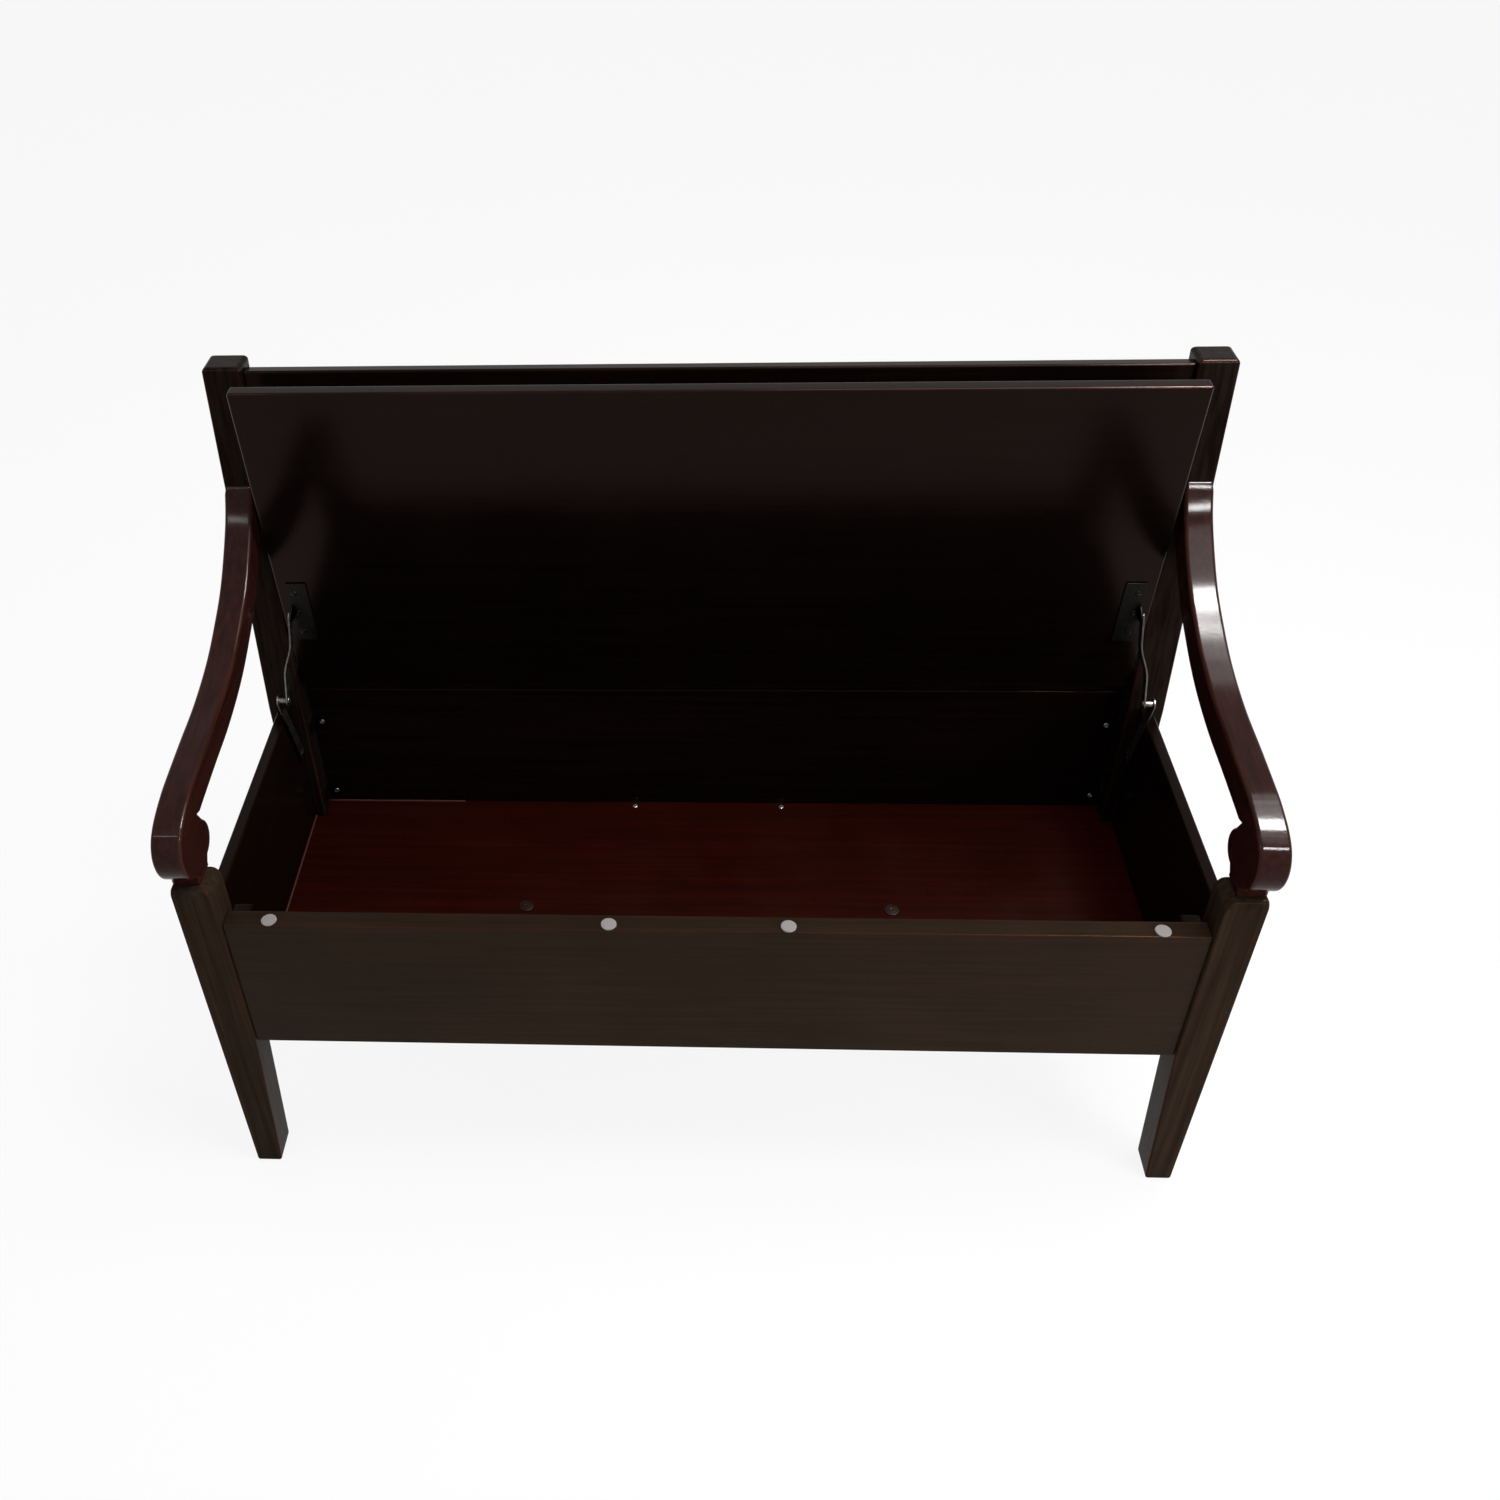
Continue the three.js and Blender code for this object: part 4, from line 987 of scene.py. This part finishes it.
class BenchPadsAndScrews(bpy.types.Operator):
    """Makes the felt pads, the floor's caps and screws, and the steel angles with their screws."""

    bl_idname = "bench.make_pads_and_screws"
    bl_label = "Pads, caps and screws"

    def execute(self, context):
        sizes = context.scene.bench_fittings

        # Felt: a thick disc punched out, with a soft rim and a faintly crowned top
        punched, crown = 0.0003, 0.00006
        for place in range(1, 5):
            node = f"felt_pad_{place}"
            low, high = box_of(node)
            radius, thick = (high[0] - low[0]) / 2, high[2] - low[2]
            soft = thick * 0.45
            profile = np.concatenate(
                [
                    [[TIP, 0], [radius - punched, 0], [radius, punched]],
                    arc([radius - soft, thick - soft * 1.15], soft, 0, 82, 6),
                    [[radius * 0.6, thick - crown], [radius * 0.3, thick], [TIP, thick]],
                ]
            )
            centre = [*(low + high)[:2] / 2, low[2]]
            add_dressed(node, [turned_piece(profile, centre, "z")], "frame", "white_wool_felt")

        # Caps: a round rim, a ring near it and a shallow dimple in the middle
        low, high = box_of("floor_cap_screw_right")
        radius, shank, groove = (high[0] - low[0]) / 2, sizes.floor_shank, sizes.cap_groove
        height, rim, undercut = 0.002, 0.0007, 0.0004
        seat = high[2] - height
        ring = height * 0.78
        profile = np.concatenate(
            [
                [[TIP, low[2] - seat], [shank, low[2] - seat + 2 * shank], [shank, 0], [radius - undercut, 0]],
                arc([radius - rim, rim], rim, -60, 80, 6),
                [[radius * 0.84, ring], [radius * 0.81, ring - groove], [radius * 0.75, ring - groove]],
                np.array([[0.72, 0.84], [0.5, 0.95], [0.27, 1], [0.2, 0.98], [0.14, 0.8]]) * [radius, height],
                [[TIP, height * 0.74]],
            ]
        )
        cap = turned_piece(profile, [*(low + high)[:2] / 2, seat], "z", steps=48)
        add_pair("floor_cap_screw", [cap], "frame", "brown_polypropylene")

        rear = screw("floor_rear_screw_right", "z", 1, sizes, sizes.floor_shank)
        add_pair("floor_rear_screw", [rear], "frame", "bright_zinc_steel")
        for level in ("lower", "upper"):
            fixing = screw(f"angle_screw_{level}_right", "y", -1, sizes, sizes.screw_shank)
            add_pair(f"angle_screw_{level}", [fixing], "frame", "bright_zinc_steel")

            # Steel angle: a strip bent round a small radius
            low, high = box_of(f"steel_angle_{level}_right")
            thick, bend = sizes.stay_thickness, sizes.angle_bend
            outer = bend + thick
            bend_centre = high[:2] - outer
            outline = np.concatenate(
                [
                    [[high[0], low[1]]],
                    arc(bend_centre, outer, 0, 90, 6),
                    [[low[0], high[1]], [low[0], high[1] - thick]],
                    arc(bend_centre, bend, 90, 0, 6),
                    [[high[0] - thick, low[1]]],
                ]
            )
            strip = eased_prism(outline, low[2], high[2], sizes.sheet_ease, "z", steps=2)
            add_pair(f"steel_angle_{level}", [strip], "frame", "bronzed_steel")
        return {"FINISHED"}


class BenchHinges(bpy.types.Operator):
    """Makes the three butt hinges: fixed leaves, moving leaves swung open with the lid, their screws and pins."""

    bl_idname = "bench.make_hinges"
    bl_label = "Hinges"

    def execute(self, context):
        sizes = context.scene.bench_fittings
        opened = context.scene.bench_boards.lid_open
        thick, height, offset = sizes.leaf_thickness, sizes.leaf_height, sizes.leaf_offset
        knuckle, gap = sizes.knuckle_radius, sizes.knuckle_gap
        axis_y, axis_z = LID_HINGE[1:]
        low, high = box_of("hinge_fixed_leaf_right")
        third = (high[0] - low[0]) / 3
        # Round of a knuckle's rim, radius of its bore, slack above a notch, and round of a leaf's edges
        rim, bore, slack, leaf_ease = 0.0003, 0.0011, 0.0002, 0.0002
        # A leaf screw's low dome, its cross recess and the distance between screws; a pin's dome
        leaf_dome, leaf_cross, screw_pitch, pin_dome = 0.00008, (0.0003, 0.0015, 0.0005), 0.02, 0.0005

        def leaf(centre_x, fixed):
            """Leaf with its knuckles, modelled closed: the fixed one lies behind the axis, the moving one before it."""
            near = axis_y + (offset if fixed else -offset - thick)
            top, notch = axis_z - knuckle * 0.75, axis_z - knuckle - gap - slack
            edges = centre_x + third * np.array([-1.5, -0.5, 0.5, 1.5])
            inset = gap if fixed else -gap
            inner = [edges[1] - inset, edges[2] + inset]
            ends, between = (top, notch) if fixed else (notch, top)
            # The outline runs anticlockwise in z and x: along the bottom edge, then back along the notched top
            outline = [
                [axis_z - height, edges[0]], [ends, edges[0]], [ends, inner[0]], [between, inner[0]],
                [between, inner[1]], [ends, inner[1]], [ends, edges[3]], [axis_z - height, edges[3]],
            ]
            parts = [eased_prism(outline, near, near + thick, leaf_ease, "y", steps=2)]
            for i in (0, 2) if fixed else (1,):
                start = edges[i] + (gap / 2 if i > 0 else 0)
                half = (edges[i + 1] - (gap / 2 if i < 2 else 0) - start) / 2
                profile = [
                    [bore, -half], [knuckle - rim, -half], [knuckle, -half + rim],
                    [knuckle, half - rim], [knuckle - rim, half], [bore, half],
                ]
                parts.append(turned_piece(profile, [start + half, axis_y, axis_z], "x", steps=32))
            return parts

        def leaf_screws(centre_x, fixed):
            """Flush screw heads, staggered on the leaf's face that shows when the lid is open."""
            face = axis_y + (offset if fixed else -offset)
            facing = -1 if fixed else 1
            profile = np.concatenate([[[TIP, -thick * 0.7]], domed_head(sizes.leaf_screw, leaf_dome, flatness=0.4)])
            places = [
                [centre_x + step * screw_pitch, face, axis_z - height * drop]
                for step, drop in ((-1, 0.6), (0, 0.42), (1, 0.6))
            ]
            return [turned_piece(profile, place, "y", facing, cross=leaf_cross) for place in places]

        for place in ("left", "middle", "right"):
            low, high = box_of(f"hinge_pin_{place}")
            centre_x, radius, half = (low[0] + high[0]) / 2, (high[2] - low[2]) / 2, (high[0] - low[0]) / 2
            crown = domed_head(radius, pin_dome, base=half - pin_dome, flatness=1, steps=5)
            both_ends = np.concatenate([crown[::-1] * [1, -1], crown])
            pin = turned_piece(both_ends, [centre_x, *LID_HINGE[1:]], "x", steps=24)
            add_dressed(f"hinge_pin_{place}", [pin], "frame", "bright_zinc_steel")
            for kind, body in (("fixed", "frame"), ("moving", "lid")):
                fixed = kind == "fixed"
                plate, heads = leaf(centre_x, fixed), leaf_screws(centre_x, fixed)
                if not fixed:
                    plate, heads = (swung(parts, LID_HINGE[1:], -opened) for parts in (plate, heads))
                add_dressed(f"hinge_{kind}_leaf_{place}", plate, body, "bronzed_steel")
                add_object(f"hinge_{kind}_screws_{place}", heads, body, [], "bright_zinc_steel")
        return {"FINISHED"}


class BenchStays(bpy.types.Operator):
    """Makes both lid stays: side plate, lower arm, jogged upper link and lid bracket, with rivets and screws."""

    bl_idname = "bench.make_stays"
    bl_label = "Lid stays"

    def execute(self, context):
        sizes = context.scene.bench_fittings
        opened = context.scene.bench_boards.lid_open
        thick, ease, width = sizes.stay_thickness, sizes.sheet_ease, sizes.stay_width
        pin, head_height = sizes.pin_radius, sizes.pin_head_height
        # Depth of a screw head's recess and of its rim, and heights of the screws' domes
        recess, rim, plate_dome, foot_dome = 0.0006, 0.0006, 0.0007, 0.0014
        pivot = joint_place("stay_arm_right_pivot")[1:]
        elbow = joint_place("stay_link_right_pivot")[1:]
        upper = elbow + LID_HINGE[1:] - pivot

        def rivet(place, end, head_at, facing):
            """Rivet along x from a place: its end has a radius of its own up to the first distance in head_at, and
            its domed head begins at the second."""
            shaft = [[TIP, 0], [end, 0], [end, head_at[0]], [pin, head_at[0]], [pin, head_at[1]]]
            head = domed_head(sizes.pin_head, head_height, base=head_at[1], flatness=0.8)
            return turned_piece(np.concatenate([shaft, head]), place, "x", facing)

        def screw_top(place, axis, height):
            """Domed screw head with a cross recess, facing against the axis."""
            dome = domed_head(sizes.screw_head, height)
            profile = np.concatenate([[[TIP, -rim], [sizes.screw_head, -rim]], dome])
            return turned_piece(profile, place, axis, -1, cross=(sizes.cross_width, sizes.cross_reach, recess))

        # Side plate with the rivet that the lower arm turns on
        low, high = box_of("stay_side_plate_right")
        plate_low = high[0] - thick
        outline = rounded_outline(low[1], low[2], high[1], high[2], (high[1] - low[1]) / 4)
        reach = high[0] - low[0] - head_height
        plate = [
            eased_prism(outline, plate_low, high[0], ease, "x", steps=2),
            rivet([high[0], *pivot], pin, (reach / 2, reach), -1),
        ]
        screws_up = (0.02, 0.044)
        plate += [screw_top([plate_low, pivot[0], pivot[1] + up], "x", plate_dome) for up in screws_up]
        add_pair("stay_side_plate", plate, "frame", "blackened_zinc_steel")

        # Lower arm with its spacer and rivet, sunk a little into the arm
        low, high = box_of("stay_lower_arm_right")
        link_low, link_high = box_of("stay_upper_link_right")
        sunk = 0.0001
        collar = high[0] - link_high[0] - FIT_GAP
        reach = high[0] - low[0] - head_height
        arm = [
            flat_link(pivot, elbow, high[0], width, thick, ease),
            rivet([high[0] - sunk, *elbow], sizes.spacer_radius, (collar, reach), -1),
        ]
        add_pair("stay_lower_arm", arm, "stay_arm_SIDE", "grey_zinc_steel")

        # Upper link
        link = [flat_link(elbow, upper, link_high[0], width, thick, ease, sizes.stay_jog)]
        add_pair("stay_upper_link", link, "stay_link_SIDE", "grey_zinc_steel")

        # Lid bracket, modelled with the lid closed: a foot under the lid, an ear, and the rivet that the link hangs on
        foot_front, foot_back, ear_half, screw_pitch, screw_share = 0.048, 0.047, 0.011, 0.032, 0.25
        ear_outer = link_low[0] - FIT_GAP
        ear_inner = ear_outer - thick
        foot_low = box_of("stay_lid_bracket_right")[0][0]
        hung = turned_about_x(np.array([[0, *upper]]), *LID_HINGE[1:], opened)[0, 1:]
        lid_low, lid_high = closed_lid(opened)
        seat = LID_HINGE[2] - sizes.knuckle_radius - FIT_GAP - (lid_high[2] - lid_low[2]) - FIT_GAP
        outline = rounded_outline(foot_low, hung[0] - foot_front, ear_outer, hung[0] + foot_back, thick)
        top = [[hung[0] + ear_half, seat - thick / 2], [hung[0] - ear_half, seat - thick / 2]]
        ear = np.concatenate([top, arc(hung, width / 2, 180, 360, 16)])
        head_at = 2 * (thick + FIT_GAP)
        bracket = [
            eased_prism(outline, seat - thick, seat, ease, "z", steps=2),
            eased_prism(ear, ear_inner, ear_outer, ease, "x", steps=2),
            rivet([ear_inner, *hung], pin, (head_at / 2, head_at), 1),
        ]
        screws_x = ear_inner - screw_share * (ear_outer - foot_low)
        for step in (-1, 0, 1):
            bracket.append(screw_top([screws_x, hung[0] + step * screw_pitch, seat - thick], "z", foot_dome))
        bracket = swung(bracket, LID_HINGE[1:], -opened)
        add_pair("stay_lid_bracket", bracket, "lid", "blackened_zinc_steel")
        return {"FINISHED"}


# ---------------------------------------------------------------- stage


def add_placed(name, data, right, up, back, place):
    """Camera or lamp in the scene, with its own axes pointing right, up and back, at a place."""
    holder = bpy.data.objects.new(name, data)
    bpy.context.scene.collection.objects.link(holder)
    turn = np.eye(4)
    turn[:3, 0], turn[:3, 1], turn[:3, 2], turn[:3, 3] = right, up, back, place
    holder.matrix_world = Matrix(turn.tolist())
    return holder


def add_area_lamp(name, place, aim, across, along, glow, lights=True, glints=True):
    """Rectangular soft lamp at a place, facing a point, as bright as white paper times glow.

    Its power in watts is pi times its area times glow. along is its side that runs from front to back.
    The camera doesn't see it. lights says whether it lights matt surfaces, glints whether the gloss mirrors it.
    """
    lamp = bpy.data.lights.new(name, "AREA")
    lamp.shape = "RECTANGLE"
    lamp.size, lamp.size_y = across, along
    lamp.energy = np.pi * across * along * glow
    back = np.asarray(place, float) - np.asarray(aim, float)
    back /= np.linalg.norm(back)
    right = np.cross([0, 1, 0], back)
    right /= np.linalg.norm(right)
    holder = add_placed(name, lamp, right, np.cross(back, right), back, place)
    holder.visible_camera = False
    holder.visible_diffuse = lights
    holder.visible_glossy = glints


def shown_white(tree, share):
    """A share for rays from the camera, in the gloss and through glass, and none for rays that carry light."""
    seen = add_node(tree, "ShaderNodeLightPath")
    larger = {"operation": "MAXIMUM"}
    gloss = add_node(
        tree, "ShaderNodeMath", larger, {0: (seen, "Is Glossy Ray"), 1: (seen, "Is Transmission Ray")}
    )
    either = add_node(tree, "ShaderNodeMath", larger, {0: (seen, "Is Camera Ray"), 1: (gloss, "Value")})
    return add_node(tree, "ShaderNodeMath", {"operation": "MULTIPLY", 1: share}, {0: (either, "Value")}), "Value"


class BenchSetStage(bpy.types.Operator):
    """Sets the camera, the lamps, the world and the studio floor."""

    bl_idname = "bench.set_stage"
    bl_label = "Stage"

    def execute(self, context):
        scene = context.scene
        stage = scene.bench_stage
        plain = (1, 1, 1, 1)

        # Camera: its axes are turned by yaw, then pitch, then roll
        yaw, pitch, roll = stage.yaw, stage.pitch, stage.roll
        forward = np.array([np.sin(yaw) * np.cos(pitch), np.cos(yaw) * np.cos(pitch), -np.sin(pitch)])
        level = np.array([np.cos(yaw), -np.sin(yaw), 0])
        upward = np.cross(level, forward)
        right = level * np.cos(roll) + upward * np.sin(roll)
        up = -level * np.sin(roll) + upward * np.cos(roll)
        camera = bpy.data.cameras.new("camera")
        camera.sensor_width = 36
        camera.lens = stage.lens
        camera.shift_x, camera.shift_y = stage.shift_x, stage.shift_y
        camera.clip_end = 100
        scene.camera = add_placed("camera", camera, right, up, -forward, stage.place)

        # Studio floor: white paint. To the camera and in the gloss most of it is plain white, and the rest, as lit,
        # keeps the bench's shadow.
        material, tree = new_material("studio_floor_paint")
        paint = add_node(tree, "ShaderNodeBsdfDiffuse", {"Color": (*stage.floor_colour, 1)})
        white = add_node(tree, "ShaderNodeEmission", {"Color": plain, "Strength": 1.0})
        links = {0: shown_white(tree, stage.floor_lift), 1: (paint, "BSDF"), 2: (white, "Emission")}
        close_material(material, tree, (add_node(tree, "ShaderNodeMixShader", {}, links), "Shader"))
        floor = bpy.data.meshes.new("studio_floor")
        side = 30.0
        corners = [(-side, -side, 0), (side, -side, 0), (side, side, 0), (-side, side, 0)]
        floor.from_pydata(corners, [], [(0, 1, 2, 3)])
        floor.materials.append(material)
        ground = bpy.data.objects.new("studio_floor", floor)
        scene.collection.objects.link(ground)

        # World: even grey light from all sides, white to the camera and in the gloss
        world = bpy.data.worlds.new("studio")
        world.use_nodes = True
        tree = world.node_tree
        tree.nodes.clear()
        lit = add_node(tree, "ShaderNodeBackground", {"Color": plain, "Strength": stage.room_light})
        white = add_node(tree, "ShaderNodeBackground", {"Color": plain, "Strength": 1.0})
        links = {0: shown_white(tree, 1.0), 1: (lit, "Background"), 2: (white, "Background")}
        mixed = add_node(tree, "ShaderNodeMixShader", {}, links)
        add_node(tree, "ShaderNodeOutputWorld", links={"Surface": (mixed, "Shader")})
        scene.world = world

        # Two soft lamps light the bench. The four narrow ones show only in the gloss, as the arms' bright streaks.
        key, glow = stage.key_light, stage.glints
        add_area_lamp("soft_overhead", (0.9, -0.1, 2.8), (0, 0, 0.4), 1.6, 1.6, key)
        add_area_lamp("soft_right_front", (2.0, -1.4, 1.0), (0.5, -0.25, 0.3), 1.0, 1.0, key, glints=False)
        add_area_lamp("glint_right_arm", (1.21, 0.06, 2.5), (0.6, 0.1, 0.7), 0.5, 0.44, glow, lights=False)
        add_area_lamp("sheen_right_arm", (1.7, 0.75, 2.6), (0.6, 0.0, 0.65), 1.0, 0.7, glow / 25, lights=False)
        add_area_lamp("glint_right_scroll", (1.42, -1.45, 2.3), (0.6, -0.24, 0.6), 0.5, 0.14, glow, lights=False)
        add_area_lamp("glint_left_scroll", (-1.4, -1.1, 2.4), (-0.6, -0.24, 0.6), 0.5, 0.14, glow / 8, lights=False)
        scene.view_settings.view_transform = "Standard"
        return {"FINISHED"}


class BenchPanel(bpy.types.Panel):
    """Lists the bench's pieces and its settings in the sidebar."""

    bl_idname = "VIEW3D_PT_bench"
    bl_label = "Deacons bench"
    bl_space_type = "VIEW_3D"
    bl_region_type = "UI"
    bl_category = "Bench"

    def draw(self, context):
        for operator in OPERATORS:
            self.layout.operator(operator.bl_idname)
        for group in GROUPS:
            settings = getattr(context.scene, group)
            for prop in GROUPS[group].__annotations__:
                self.layout.prop(settings, prop)


GROUPS = {
    "bench_frame": BenchFrameSizes,
    "bench_boards": BenchBoardSizes,
    "bench_fittings": BenchFittingSizes,
    "bench_finish": BenchFinish,
    "bench_stage": BenchStage,
}
OPERATORS = (
    BenchMaterials,
    BenchFrontLegs,
    BenchBackPosts,
    BenchArms,
    BenchBackrest,
    BenchBox,
    BenchLid,
    BenchPadsAndScrews,
    BenchHinges,
    BenchStays,
    BenchSetStage,
)


def register():
    """Adds the settings, the operators and the panel."""
    for cls in (*GROUPS.values(), *OPERATORS, BenchPanel):
        bpy.utils.register_class(cls)
    for name, group in GROUPS.items():
        setattr(bpy.types.Scene, name, PointerProperty(type=group))


def unregister():
    """Takes them away again."""
    for name in GROUPS:
        delattr(bpy.types.Scene, name)
    for cls in (BenchPanel, *reversed(OPERATORS), *reversed(list(GROUPS.values()))):
        bpy.utils.unregister_class(cls)


def main():
    """Registers the add-on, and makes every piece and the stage."""
    register()
    for operator in OPERATORS:
        group, name = operator.bl_idname.split(".")
        getattr(getattr(bpy.ops, group), name)()


if __name__ == "__main__":
    main()
